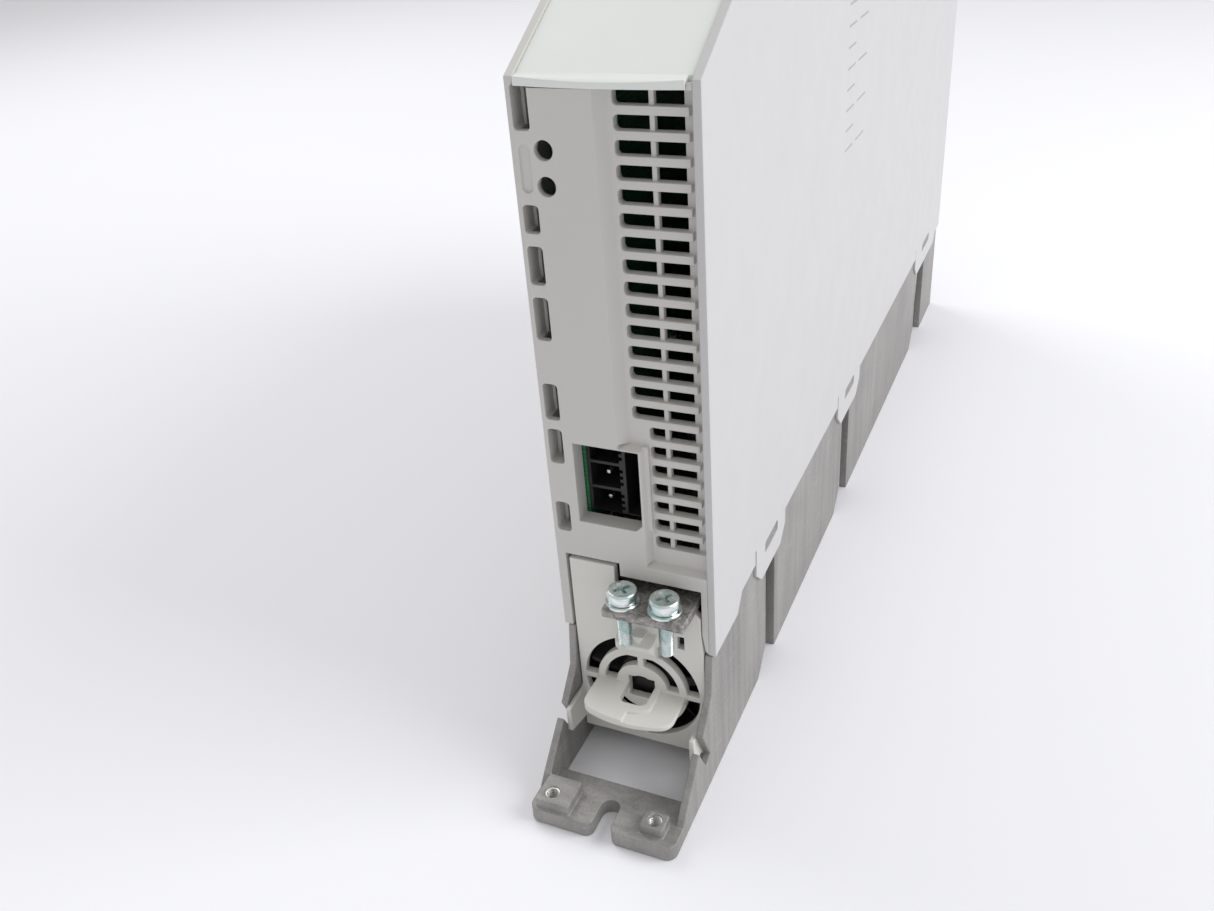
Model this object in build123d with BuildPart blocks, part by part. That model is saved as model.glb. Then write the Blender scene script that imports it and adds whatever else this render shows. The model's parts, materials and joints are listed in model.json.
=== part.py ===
from build123d import *
import os
from math import cos, radians, tan

# Servo drive in book format, lying on its mounting back.
# +Z points out of the cabinet wall, +Y runs along the drive away from the fan end,
# X is the width. The origin is in the middle of the length and width, on the back plane.
# Places "from the near end" count from the plastic end face at the fan end.

# ---------------------------------------------------------------- overall sizes
drive_width = 45.0
housing_length = 353.0
drive_depth = 260.0
slope_rise = 66.5             # height of the sloping part of the front
slope_angle = 30.0            # rise of the front above the fan end
near_reach = 34.0             # mounting flange beyond the fan end
far_reach = 14.0              # mounting tongue beyond the other end

cover_wall = 2.0              # plastic walls and front sheet
cover_lap = 1.0               # step of the plastic over the casting
bay_wall = 2.2                # casting wall beside the fan
sink_wall = 3.0               # casting wall beside the fins
play = 0.3                    # general clearance between separate pieces

end_height = drive_depth - slope_rise
middle = housing_length / 2
near_y = near_reach - (near_reach + housing_length + far_reach) / 2
far_y = near_y + housing_length
half_width = drive_width / 2
casting_half = half_width - cover_lap
inner_half = half_width - cover_wall
bay_half = casting_half - bay_wall
duct_half = casting_half - sink_wall

# ---------------------------------------------------------------- heights
carrier_foot = 6.2            # lower edge of the fan carrier
fan_lift = 1.0                # fan frame above that edge
fan_half = bay_half - play
fan_z = carrier_foot + fan_lift + fan_half
bay_headroom = 6.8            # fan frame to the heatsink base
base_thickness = 6.0
base_z = fan_z + fan_half + bay_headroom
deck_z = base_z + base_thickness
bar_thickness = 3.0
bar_top = deck_z + bar_thickness
bar_window = 3.4              # opening above the earth bar
panel_foot = bar_top + bar_window
casting_rim = 2.0             # casting walls above the base
casting_top = deck_z + casting_rim
skirt_drop = 9.0              # side covers reach this far below the base's top
corner_drop = 14.3            # and this far at their ends
skirt_z = deck_z - skirt_drop
corner_z = deck_z - corner_drop

# ---------------------------------------------------------------- front slope
wall_proud = 0.6              # side walls above the front sheet
far_corner = 12.0             # bevel at the far front corner
slope_run = (drive_depth - end_height) / tan(radians(slope_angle))


def at_near(depth):
    """Plane parallel to the near end face, this deep behind it, facing out of it."""
    return Plane.XZ.offset(-(near_y + depth))


def at_far(depth):
    """Plane parallel to the far end face, this deep behind it, facing out of it."""
    return Plane((0, far_y - depth, 0), x_dir=(-1, 0, 0), z_dir=(0, 1, 0))


def finish(part, name):
    """Label one finished piece and write it to its own file."""
    part.label = name
    export_step(part, f"parts/{name}.step")


os.makedirs("parts", exist_ok=True)

# ================================================================ heatsink casting
flange_thickness = 5.0
flange_depth = 16.5
flange_corner = 3.0
slot_width = 5.3
slot_length = 10.5            # from the flange's front edge
slot_mouth = 2.4
leg_setback = 7.8             # side walls start behind the flange's front edge
leg_toe = 3.1                 # level top of the leg on the flange
leg_knee_z = 8.6              # height where the leg starts to rise
leg_neck = (9.3, 22.0)        # reach and height under the upper wall
leg_brow = (1.8, 30.3)
notch_low = (13.6, 21.2)
notch_depth = (5.6, 9.6)
notch_width = 3.2
plate_depth = 2.5             # fan carrier plate
fan_depth = 20.0
bay_spare = 5.5               # fan bay behind the fan
fin_setback = 4.0             # fins start behind the fan bay
fin_count = 5
fin_thickness = 1.4
fin_foot = 6.0
fin_end = 4.0
wall_slots = (
    (49.5, 59.0),
    (middle - 28.5, middle - 16.5),
    (housing_length - 53.0, housing_length - 33.0),
)
slot_chamfer = 8.0
wall_slot_drop = 15.0
tabs = (
    (36.8, 67.0),
    (middle - 40.0, middle - 5.5),
    (housing_length - 65.0, housing_length - 10.0),
)
tab_windows = (
    (45.5, 58.7),
    (middle - 29.5, middle - 15.5),
    (housing_length - 49.0, housing_length - 31.0),
)
window_foot_drop = 11.5       # tab windows, below the base's top
window_head_drop = 7.6
catch_proud = 0.7
catch_play = 0.6
pad_height = 3.0
pad_corner = 0.8
# side, gap to the casting's side, centre behind the flange's front edge, width, length,
# thread outward from the pad's centre, thread in front of it
pads = (
    (-1, 1.8, 6.0, 10.2, 10.0, 1.4, 1.1),
    (1, 4.0, 5.5, 6.7, 6.0, 0.15, 0.0),
)
thread_radius = 2.0
tongue_width = 24.0
tongue_thickness = 5.0
tongue_root = 6.0
tongue_hole_radius = 2.75
tongue_hole_reach = 6.5

flange_front = near_y - near_reach
foot_y = flange_front + leg_setback
bay_length = plate_depth + fan_depth + bay_spare
wall_slot_head = deck_z - wall_slot_drop
window_low = deck_z - window_foot_drop
window_high = deck_z - window_head_drop

with BuildPart() as heatsink:
    with BuildSketch(Plane.YZ.offset(duct_half)):
        with BuildLine():
            Polyline(
                (foot_y, 0),
                (foot_y, flange_thickness + play),
                (foot_y + leg_toe, leg_knee_z),
                (near_y - leg_neck[0], leg_neck[1]),
                (near_y - leg_brow[0], leg_brow[1]),
                (near_y, corner_z - play),
                (near_y + cover_wall + play, corner_z - play),
                (near_y + cover_wall + play, casting_top),
                (far_y - cover_wall - play, casting_top),
                (far_y - cover_wall - play, corner_z - play),
                (far_y, corner_z - play),
                (far_y, 0),
                close=True,
            )
        make_face()
    extrude(amount=sink_wall)
    with BuildSketch(Plane.YZ.offset(duct_half)):
        with Locations((near_y + bay_length / 2 - near_reach / 2, casting_top / 2)):
            Rectangle(bay_length + near_reach, casting_top)
    extrude(amount=sink_wall - bay_wall, mode=Mode.SUBTRACT)
    for near_edge, far_edge in wall_slots:
        with BuildSketch(Plane.YZ.offset(duct_half)):
            with BuildLine():
                Polyline(
                    (near_y + near_edge - slot_chamfer, 0),
                    (near_y + near_edge, slot_chamfer),
                    (near_y + near_edge, wall_slot_head),
                    (near_y + far_edge, wall_slot_head),
                    (near_y + far_edge, 0),
                    close=True,
                )
            make_face()
        extrude(amount=sink_wall, mode=Mode.SUBTRACT)
    with BuildSketch(Plane.YZ.offset(duct_half)):
        with BuildLine():
            Polyline(
                (near_y - notch_low[0], notch_low[1]),
                (near_y - notch_depth[0] - notch_width / 2, notch_depth[1]),
                (near_y - notch_depth[0] + notch_width / 2, notch_depth[1] + notch_width / 2),
                (near_y - leg_neck[0] - play, leg_neck[1] + play),
                close=True,
            )
        make_face()
    extrude(amount=sink_wall, mode=Mode.SUBTRACT)
    for low, high in tab_windows:
        with BuildSketch(Plane.YZ.offset(casting_half)):
            with Locations((near_y + (low + high) / 2, (window_low + window_high) / 2)):
                RectangleRounded(
                    high - low - 2 * catch_play,
                    window_high - window_low - 2 * catch_play,
                    catch_play,
                )
        extrude(amount=catch_proud)
    mirror(about=Plane.YZ)
    # base plate between the walls
    with BuildSketch(Plane.XY.offset(base_z)):
        with Locations((0, (near_y + bay_length + far_y - cover_wall - play) / 2)):
            Rectangle(2 * duct_half, housing_length - bay_length - cover_wall - play)
    extrude(amount=base_thickness)
    # fins hang from the base into the air duct
    fin_start = bay_length + fin_setback
    fin_length = housing_length - fin_start - fin_end
    fin_pitch = 2 * duct_half / (fin_count + 1)
    with BuildSketch(Plane.XY.offset(fin_foot)):
        with Locations((0, near_y + fin_start + fin_length / 2)):
            with GridLocations(fin_pitch, 0, fin_count, 1):
                Rectangle(fin_thickness, fin_length)
    extrude(amount=base_z - fin_foot)
    # near flange with its open slot
    with BuildSketch() as flange_outline:
        with Locations((0, flange_front + flange_depth / 2)):
            Rectangle(2 * casting_half, flange_depth)
        front_corners = flange_outline.vertices().group_by(Axis.Y)[0]
        fillet(front_corners, flange_corner)
        with Locations((0, flange_front + (slot_length - slot_width / 2) / 2)):
            Rectangle(slot_width, slot_length - slot_width / 2, mode=Mode.SUBTRACT)
        with Locations((0, flange_front + slot_length - slot_width / 2)):
            Circle(slot_width / 2, mode=Mode.SUBTRACT)
        mouth = flange_outline.vertices().group_by(Axis.Y)[0].sort_by(Axis.X)[1:-1]
        fillet(mouth, slot_mouth)
    extrude(amount=flange_thickness)
    for side, inset, setback, pad_width, pad_length, thread_out, thread_fore in pads:
        pad_x = side * (casting_half - inset - pad_width / 2)
        pad_y = flange_front + setback
        with BuildSketch(Plane.XY.offset(flange_thickness)):
            with Locations((pad_x, pad_y)):
                RectangleRounded(pad_width, pad_length, pad_corner)
        extrude(amount=pad_height)
        thread_x = pad_x + side * thread_out
        with Locations((thread_x, pad_y - thread_fore, flange_thickness + pad_height)):
            Hole(thread_radius, depth=flange_thickness + pad_height)
    # far tongue with its screw hole
    with BuildSketch() as tongue_outline:
        with Locations((0, far_y + (far_reach - tongue_root) / 2)):
            Rectangle(tongue_width, far_reach + tongue_root)
        fillet(tongue_outline.vertices().group_by(Axis.Y)[-1], flange_corner)
        with Locations((0, far_y + tongue_hole_reach)):
            Circle(tongue_hole_radius, mode=Mode.SUBTRACT)
    extrude(amount=tongue_thickness)
    with BuildSketch():
        with Locations((0, far_y - tongue_root / 2)):
            Rectangle(2 * duct_half, tongue_root)
    extrude(amount=tongue_thickness)
finish(heatsink.part, "heatsink")

# ================================================================ plastic side walls
# Both side walls share one outline: skirt with snap tabs below, sloping front above.
skirt_corner = 19.0           # length of the deep skirt at each end
skirt_step = 4.0
tab_drop = 9.8
tab_ramp = 5.4
tab_slit = 1.0
tab_slit_height = 4.5


def side_wall(inside, outside):
    """One plastic side wall between two places across the width, with tabs over the casting."""
    outward = 1 if outside > inside else -1
    tab_foot = skirt_z - tab_drop
    with BuildPart() as wall:
        with BuildSketch(Plane.YZ.offset(inside)):
            with BuildLine():
                Polyline(
                    (near_y, corner_z),
                    (near_y, end_height),
                    (near_y + slope_run, drive_depth),
                    (far_y - far_corner, drive_depth),
                    (far_y, drive_depth - far_corner),
                    (far_y, corner_z),
                    (far_y - skirt_corner, corner_z),
                    (far_y - skirt_corner - skirt_step, skirt_z),
                    (near_y + skirt_corner + skirt_step, skirt_z),
                    (near_y + skirt_corner, corner_z),
                    close=True,
                )
            make_face()
        extrude(amount=outward * cover_wall)
        # thinner where the wall lies over the casting, full at both end panels
        with BuildSketch(Plane.YZ.offset(inside)):
            with Locations((near_y + housing_length / 2, (casting_top + play) / 2)):
                Rectangle(housing_length - 2 * cover_wall, casting_top + play)
        extrude(amount=outward * (cover_wall - cover_lap), mode=Mode.SUBTRACT)
        for (low, high), (left, right) in zip(tabs, tab_windows):
            with BuildSketch(Plane.YZ.offset(outside)):
                with BuildLine():
                    Polyline(
                        (near_y + low, skirt_z + cover_wall),
                        (near_y + low, skirt_z - tab_drop / 2),
                        (near_y + low + tab_ramp, tab_foot),
                        (near_y + high - tab_ramp, tab_foot),
                        (near_y + high, skirt_z - tab_drop / 2),
                        (near_y + high, skirt_z + cover_wall),
                        close=True,
                    )
                make_face()
            extrude(amount=-outward * cover_lap)
            window_mid = (window_low + window_high) / 2
            with BuildSketch(Plane.YZ.offset(outside)):
                with Locations((near_y + (left + right) / 2, window_mid)):
                    RectangleRounded(right - left, window_high - window_low, tab_slit)
                with Locations((near_y + low - tab_slit / 2, skirt_z + tab_slit_height / 2)):
                    Rectangle(tab_slit, tab_slit_height)
            extrude(amount=-outward * cover_lap, mode=Mode.SUBTRACT)
    return wall.part


with BuildPart() as side_cover:
    add(side_wall(inner_half, half_width))
finish(side_cover.part, "side_cover")

# ================================================================ housing
vent_wall = 2.6               # panel behind its recess
recess_depth = 2.6
low_bevel = 1.3               # bevel at the side of the lower recess
recess_edge = -2.1            # flush part of the panel ends here
recess_margin = 0.6           # recess to the terminal opening beside it
ledge_rise = 47.0             # ledges of the recess above the base
low_ledge_rise = 11.8
ledge_slope = 1.0             # fall of each ledge towards its front edge
ledge_margin = 2.5            # wide vents stay this far above the upper ledge
vent_pitch = 5.38
vent_height = 3.4
vent_drop = 2.6               # first vent below the top of the end face
vent_foot_rise = 4.4          # lowest vent above the low ledge
vent_margin = 1.0             # vents to the foot of the recess's bevel
low_vent_margin = 0.2         # vents to the cheek
divider_width = 1.2
right_vent_width = 6.5
edge_strip = 3.3              # solid strip at the right of the vents
channel_width = 1.7           # groove beside the strip
slat_depth = 1.6
divider_set = 0.9             # dividers stand behind the slats' faces
vent_corner = 1.0
slot_lap = 0.8                # snap slots reach into the side wall
snap_slot_width = 4.0
snap_slots = (
    (1.5, 10.0),
    (28.3, 6.7),
    (38.1, 9.5),
    (50.8, 11.1),
    (73.7, 10.1),
    (86.5, 10.0),
    (108.5, 9.0),
)
marker_inset = 5.95
marker_holes = (15.7, 23.8)
marker_radius = 2.3
blind_inset = 1.1
blind_slot = (14.6, 10.9, 2.7)
blind_depth = 0.6
header_width = 15.6           # plug header in the terminal opening
header_side = 0.8             # opening beside the header, left and right
latch_room = 1.5
terminal_rise = 22.0
terminal_height = 23.6
terminal_bevel = 1.8
cheek_depth = 1.4
cheek_width = 1.7
pocket_wall = 1.0
lug_width = 1.3               # lug at the right end of the lip
ear_inset = 0.6
ear_rise = 10.5
ear_lap = 1.3                 # panel over the fan carrier's ear
foot_inset = 1.8              # panel's legs beside the fan carrier
bar_inset = 2.9               # earth bar to the housing's right side
bar_width = 23.0
seam = 0.1
far_vent_rows = 16
far_vent_width = 26.0
far_vent_rise = 7.2
board_gap = 5.1               # left wall to control board
board_thickness = 1.6

panel_depth = recess_depth + vent_wall
ledge_z = deck_z + ledge_rise
low_ledge_z = deck_z + low_ledge_rise
vent_foot = low_ledge_z + vent_foot_rise
control_left = -inner_half + board_gap
control_right = control_left + board_thickness
header_left = control_right
terminal_left = header_left - header_side
terminal_right = header_left + header_width + latch_room
terminal_low = deck_z + terminal_rise
terminal_high = terminal_low + terminal_height
low_recess_edge = terminal_right + recess_margin
cheek_right = low_recess_edge + cheek_width
vent_left = recess_edge + recess_depth + vent_margin
low_vent_left = cheek_right + low_vent_margin
vent_right = inner_half - edge_strip
slat_end = inner_half - channel_width
divider_right = vent_right - right_vent_width
divider_left = divider_right - divider_width
ear_left = -inner_half + ear_inset
ear_head = deck_z + ear_rise
leg_inner = inner_half - foot_inset
bar_right = inner_half - bar_inset
bar_left = bar_right - bar_width
ear_right = bar_left + ear_lap
panel_top = end_height - cover_wall - seam
vent_rows = int((end_height - vent_drop - vent_height - vent_foot) / vent_pitch) + 1


def vent_top(row):
    """Height of the upper edge of one vent row."""
    return end_height - vent_drop - row * vent_pitch


with BuildPart() as housing:
    add(side_wall(-inner_half, -half_width))
    # near end panel, down to the earth bar and with a leg on each side of the fan bay
    with BuildSketch(at_near(0)):
        with BuildLine():
            Polyline(
                (-inner_half, panel_top),
                (inner_half, panel_top),
                (inner_half, corner_z),
                (inner_half - cover_lap, corner_z + cover_lap),
                (leg_inner, skirt_z + cover_lap),
                (leg_inner, panel_foot),
                (ear_right, panel_foot),
                (ear_right, ear_head),
                (ear_left, ear_head),
                (ear_left, corner_z),
                (-inner_half, corner_z),
                close=True,
            )
        make_face()
    extrude(amount=-panel_depth)
    # behind the legs the panel is only a wall thick, so that the casting walls pass
    with BuildSketch(at_near(cover_wall)):
        with Locations((0, (casting_top + play) / 2)):
            Rectangle(drive_width, casting_top + play)
    extrude(amount=-panel_depth, mode=Mode.SUBTRACT)
    # recess with a bevelled side, in two widths
    for edge, bevel, low, high in (
        (recess_edge, recess_depth, ledge_z, end_height),
        (low_recess_edge, low_bevel, low_ledge_z, ledge_z),
    ):
        with BuildSketch(Plane.XY.offset(low)):
            with BuildLine():
                Polyline(
                    (edge, near_y),
                    (edge + bevel, near_y + recess_depth),
                    (inner_half, near_y + recess_depth),
                    (inner_half, near_y),
                    close=True,
                )
            make_face()
        extrude(amount=high - low, mode=Mode.SUBTRACT)
        with BuildSketch(Plane.YZ.offset(edge)):
            with BuildLine():
                Polyline(
                    (near_y, low),
                    (near_y + recess_depth, low),
                    (near_y, low - ledge_slope),
                    close=True,
                )
            make_face()
        extrude(amount=inner_half - edge, mode=Mode.SUBTRACT)
    # raised cheek beside the terminal opening
    with BuildSketch(at_near(cheek_depth)):
        with Locations(((low_recess_edge + cheek_right) / 2, (terminal_low + ledge_z) / 2)):
            Rectangle(cheek_right - low_recess_edge, ledge_z - terminal_low)
    extrude(amount=cheek_depth - recess_depth)
    # hollow behind the flush part
    with BuildSketch(at_near(cover_wall)):
        pocket_left = -inner_half
        pocket_right = recess_edge - pocket_wall
        pocket_low = ledge_z + pocket_wall
        pocket_high = panel_top - pocket_wall
        with Locations(((pocket_left + pocket_right) / 2, (pocket_low + pocket_high) / 2)):
            Rectangle(pocket_right - pocket_left, pocket_high - pocket_low)
    extrude(amount=-panel_depth, mode=Mode.SUBTRACT)
    # vents: two windows in each row, open at the right in front so that slats end free
    for row in range(vent_rows):
        row_top = vent_top(row)
        row_mid = row_top - vent_height / 2
        left = vent_left if row_top - vent_height > ledge_z + ledge_margin else low_vent_left
        for window_left, window_right in (
            (left, divider_left),
            (max(left, divider_right), vent_right),
        ):
            if window_right - window_left < 2 * vent_corner:
                continue
            with BuildSketch(at_near(recess_depth)) as window:
                with Locations(((window_left + window_right) / 2, row_mid)):
                    Rectangle(window_right - window_left, vent_height)
                if window_right < vent_right:
                    fillet(window.vertices().group_by(Axis.X)[0], vent_corner)
            extrude(amount=recess_depth - panel_depth, mode=Mode.SUBTRACT)
        with BuildSketch(at_near(recess_depth)):
            with Locations(((vent_right + inner_half) / 2, row_mid)):
                Rectangle(inner_half - vent_right, vent_height)
        extrude(amount=-slat_depth, mode=Mode.SUBTRACT)
        if left < divider_left:
            with BuildSketch(at_near(recess_depth)):
                with Locations(((divider_left + divider_right) / 2, row_mid)):
                    Rectangle(divider_width, vent_height)
            extrude(amount=-divider_set, mode=Mode.SUBTRACT)
    channel_low = vent_top(vent_rows - 1) - vent_height
    with BuildSketch(at_near(recess_depth)):
        with Locations(((slat_end + inner_half) / 2, (channel_low + panel_top) / 2)):
            Rectangle(inner_half - slat_end, panel_top - channel_low)
    extrude(amount=-slat_depth, mode=Mode.SUBTRACT)
    # column of snap slots at the left edge, two round holes and a blind slot
    slot_x = -inner_half - slot_lap + snap_slot_width / 2
    with BuildSketch(at_near(0)):
        for drop, height in snap_slots:
            if end_height - drop - height > low_ledge_z:
                with Locations((slot_x, end_height - drop - height / 2)):
                    RectangleRounded(snap_slot_width, height, vent_corner)
        for drop in marker_holes:
            with Locations((-inner_half + marker_inset, end_height - drop)):
                Circle(marker_radius)
    extrude(amount=-panel_depth, mode=Mode.SUBTRACT)
    with BuildSketch(at_near(0)):
        blind_drop, blind_height, blind_width = blind_slot
        with Locations((-inner_half + blind_inset, end_height - blind_drop - blind_height / 2)):
            SlotOverall(blind_height, blind_width, rotation=90)
    extrude(amount=-blind_depth, mode=Mode.SUBTRACT)
    # terminal opening
    with BuildSketch(at_near(0)):
        with BuildLine():
            Polyline(
                (terminal_left, terminal_low),
                (terminal_right - terminal_bevel, terminal_low),
                (terminal_right, terminal_low + terminal_bevel),
                (terminal_right, terminal_high),
                (terminal_left, terminal_high),
                close=True,
            )
        make_face()
    extrude(amount=-panel_depth, mode=Mode.SUBTRACT)
    # lug that closes the corner beside the lip of the front cover
    with BuildSketch(at_near(0)):
        with Locations((inner_half - lug_width / 2, (panel_top + end_height - wall_proud) / 2)):
            Rectangle(lug_width, end_height - wall_proud - panel_top)
    extrude(amount=-cover_wall)
    # far end panel with a field of air outlets
    with BuildSketch(at_far(0)):
        with Locations((0, (corner_z + drive_depth - far_corner - cover_wall) / 2)):
            Rectangle(2 * inner_half, drive_depth - far_corner - cover_wall - corner_z)
    extrude(amount=-cover_wall)
    with BuildSketch(at_far(0)):
        with Locations((0, casting_top + far_vent_rows * vent_pitch / 2 + far_vent_rise)):
            with GridLocations(0, vent_pitch, 1, far_vent_rows):
                SlotOverall(far_vent_width, vent_height)
    extrude(amount=-cover_wall, mode=Mode.SUBTRACT)
    with BuildSketch(at_far(0)):
        with Locations((0, (corner_z + base_z) / 2)):
            Rectangle(2 * duct_half, base_z - corner_z)
    extrude(amount=-cover_wall, mode=Mode.SUBTRACT)
finish(housing.part, "housing")

# ================================================================ front cover
lip_bulge = 1.2
# windows in the flat front, from the slope to the far end: piece, length, width
window_sizes = (
    ("status_lens", 22.0, 16.0),
    ("network_port", 32.0, 14.6),
    ("feedback_port", 27.0, 12.6),
    ("supply_header", 30.0, 20.6),
    ("motor_header", 38.0, 20.6),
)
window_corner = 0.8
flat_length = housing_length - far_corner - slope_run
window_gap = (flat_length - sum(size[1] for size in window_sizes)) / (len(window_sizes) + 1)
front_windows = []
window_reach = slope_run
for window_name, window_length, window_width in window_sizes:
    window_reach += window_gap + window_length / 2
    front_windows.append((window_name, window_reach, window_length, window_width))
    window_reach += window_length / 2
sheet_drop = wall_proud / cos(radians(slope_angle))
sheet_back = (wall_proud + cover_wall) / cos(radians(slope_angle))


def slope_line(reach, drop):
    """Point on a line parallel to the slope, this far below it."""
    return (near_y + reach, end_height - drop + reach * tan(radians(slope_angle)))


def knee(depth_below, drop):
    """Corner where the sheet turns from the slope to the flat front."""
    height = drive_depth - depth_below
    reach = (height - end_height + drop) / tan(radians(slope_angle))
    return (near_y + reach, height)


with BuildPart() as front_cover:
    with BuildSketch(Plane.YZ.offset(-inner_half)):
        with BuildLine():
            Polyline(
                slope_line(-lip_bulge, 0),
                slope_line(0, 0),
                slope_line(cover_wall, sheet_drop),
                knee(wall_proud, sheet_drop),
                (far_y - far_corner - wall_proud, drive_depth - wall_proud),
                (far_y, drive_depth - far_corner - 2 * wall_proud),
                (far_y, drive_depth - far_corner - cover_wall),
                (far_y - cover_wall, drive_depth - far_corner - cover_wall),
                (far_y - far_corner - cover_wall, drive_depth - wall_proud - cover_wall),
                knee(wall_proud + cover_wall, sheet_back),
                (near_y + cover_wall, end_height - cover_wall),
                (near_y - lip_bulge, end_height - cover_wall),
                close=True,
            )
        make_face()
    extrude(amount=2 * inner_half)
    # the lip bulges forward in the middle
    with BuildSketch(Plane.XY.offset(end_height - 2 * cover_wall)):
        with BuildLine():
            ThreePointArc((-inner_half, near_y), (0, near_y - lip_bulge), (inner_half, near_y))
            Polyline(
                (inner_half, near_y),
                (inner_half, near_y - 2 * lip_bulge),
                (-inner_half, near_y - 2 * lip_bulge),
                (-inner_half, near_y),
            )
        make_face()
    extrude(amount=4 * cover_wall, mode=Mode.SUBTRACT)
    with BuildSketch(Plane.XY.offset(end_height - 2 * cover_wall)):
        with Locations((inner_half - (lug_width + seam) / 2, near_y)):
            Rectangle(lug_width + seam, 2 * (cover_wall + seam))
    extrude(amount=4 * cover_wall, mode=Mode.SUBTRACT)
    with BuildSketch(Plane.XY.offset(drive_depth)):
        for _, reach, length, width in front_windows:
            with Locations((0, near_y + reach)):
                RectangleRounded(width, length, window_corner)
    extrude(amount=-2 * (cover_wall + wall_proud), mode=Mode.SUBTRACT)
finish(front_cover.part, "front_cover")

# ================================================================ fan carrier
ring_margin = 1.6             # grille opening inside the fan's square
ring_gap = 3.8
ring_width = 2.3
carrier_drop = 0.7            # carrier's top below the bar
hub_outer = 7.8
hub_hole = 3.9
spoke_width = 1.8
grip_half = 13.3
grip_reach = 12.2
grip_bulge = 2.8
grip_thickness = 2.4
grip_step = 0.8
grip_corner = 2.0
grip_round = 4.2
rim_half = 5.9
rim_reach = 11.2
rim_bulge = 2.6
grip_hole_reach = 7.9
press_half = 5.7
press_corner = 1.6
press_reach = 4.2
press_head_rise = 3.2         # press tab heights, above the grille opening
press_brow_rise = 1.0
press_lip_drop = 0.2
arrow_half = 2.0
arrow_height = 3.6
peep_inset = 6.6
peep_rise = 2.0
peep_width = 2.0
peep_height = 4.2
arm_thickness = 1.5
arm_head = 21.6
arm_reach = 10.8
arm_low_front = 13.4
arm_low_back = 10.2
arm_wedge = 5.6
clip_width = 10.0
clip_thickness = 0.8
clip_hook = 1.2

plate_half = bay_half - play
carrier_ear_head = ear_head - ear_lap
carrier_ear_right = bar_left - play
carrier_head = deck_z - carrier_drop
ring_opening = fan_half - ring_margin
ring_outer = ring_opening - ring_gap
ring_inner = ring_outer - ring_width
press_head = fan_z + ring_opening + press_head_rise
press_brow = fan_z + ring_opening + press_brow_rise
press_lip = fan_z + ring_opening - press_lip_drop
grip_top = fan_z + spoke_width / 2


def grip_plan(reach, left, right, bulge, corner):
    """Plan of the pull grip: straight sides, rounded corners and a bowed front edge."""
    wide = max(-left, right)
    with BuildSketch() as plan:
        with BuildLine():
            Polyline(
                (wide, near_y - reach),
                (wide, near_y + plate_depth),
                (-wide, near_y + plate_depth),
                (-wide, near_y - reach),
            )
            ThreePointArc(
                (-wide, near_y - reach), (0, near_y - reach - bulge), (wide, near_y - reach)
            )
        make_face()
        fillet(plan.vertices().group_by(Axis.Y)[0], corner)
        with Locations(((left + right) / 2, near_y)):
            Rectangle(right - left, 4 * reach, mode=Mode.INTERSECT)
    return plan.sketch


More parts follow.
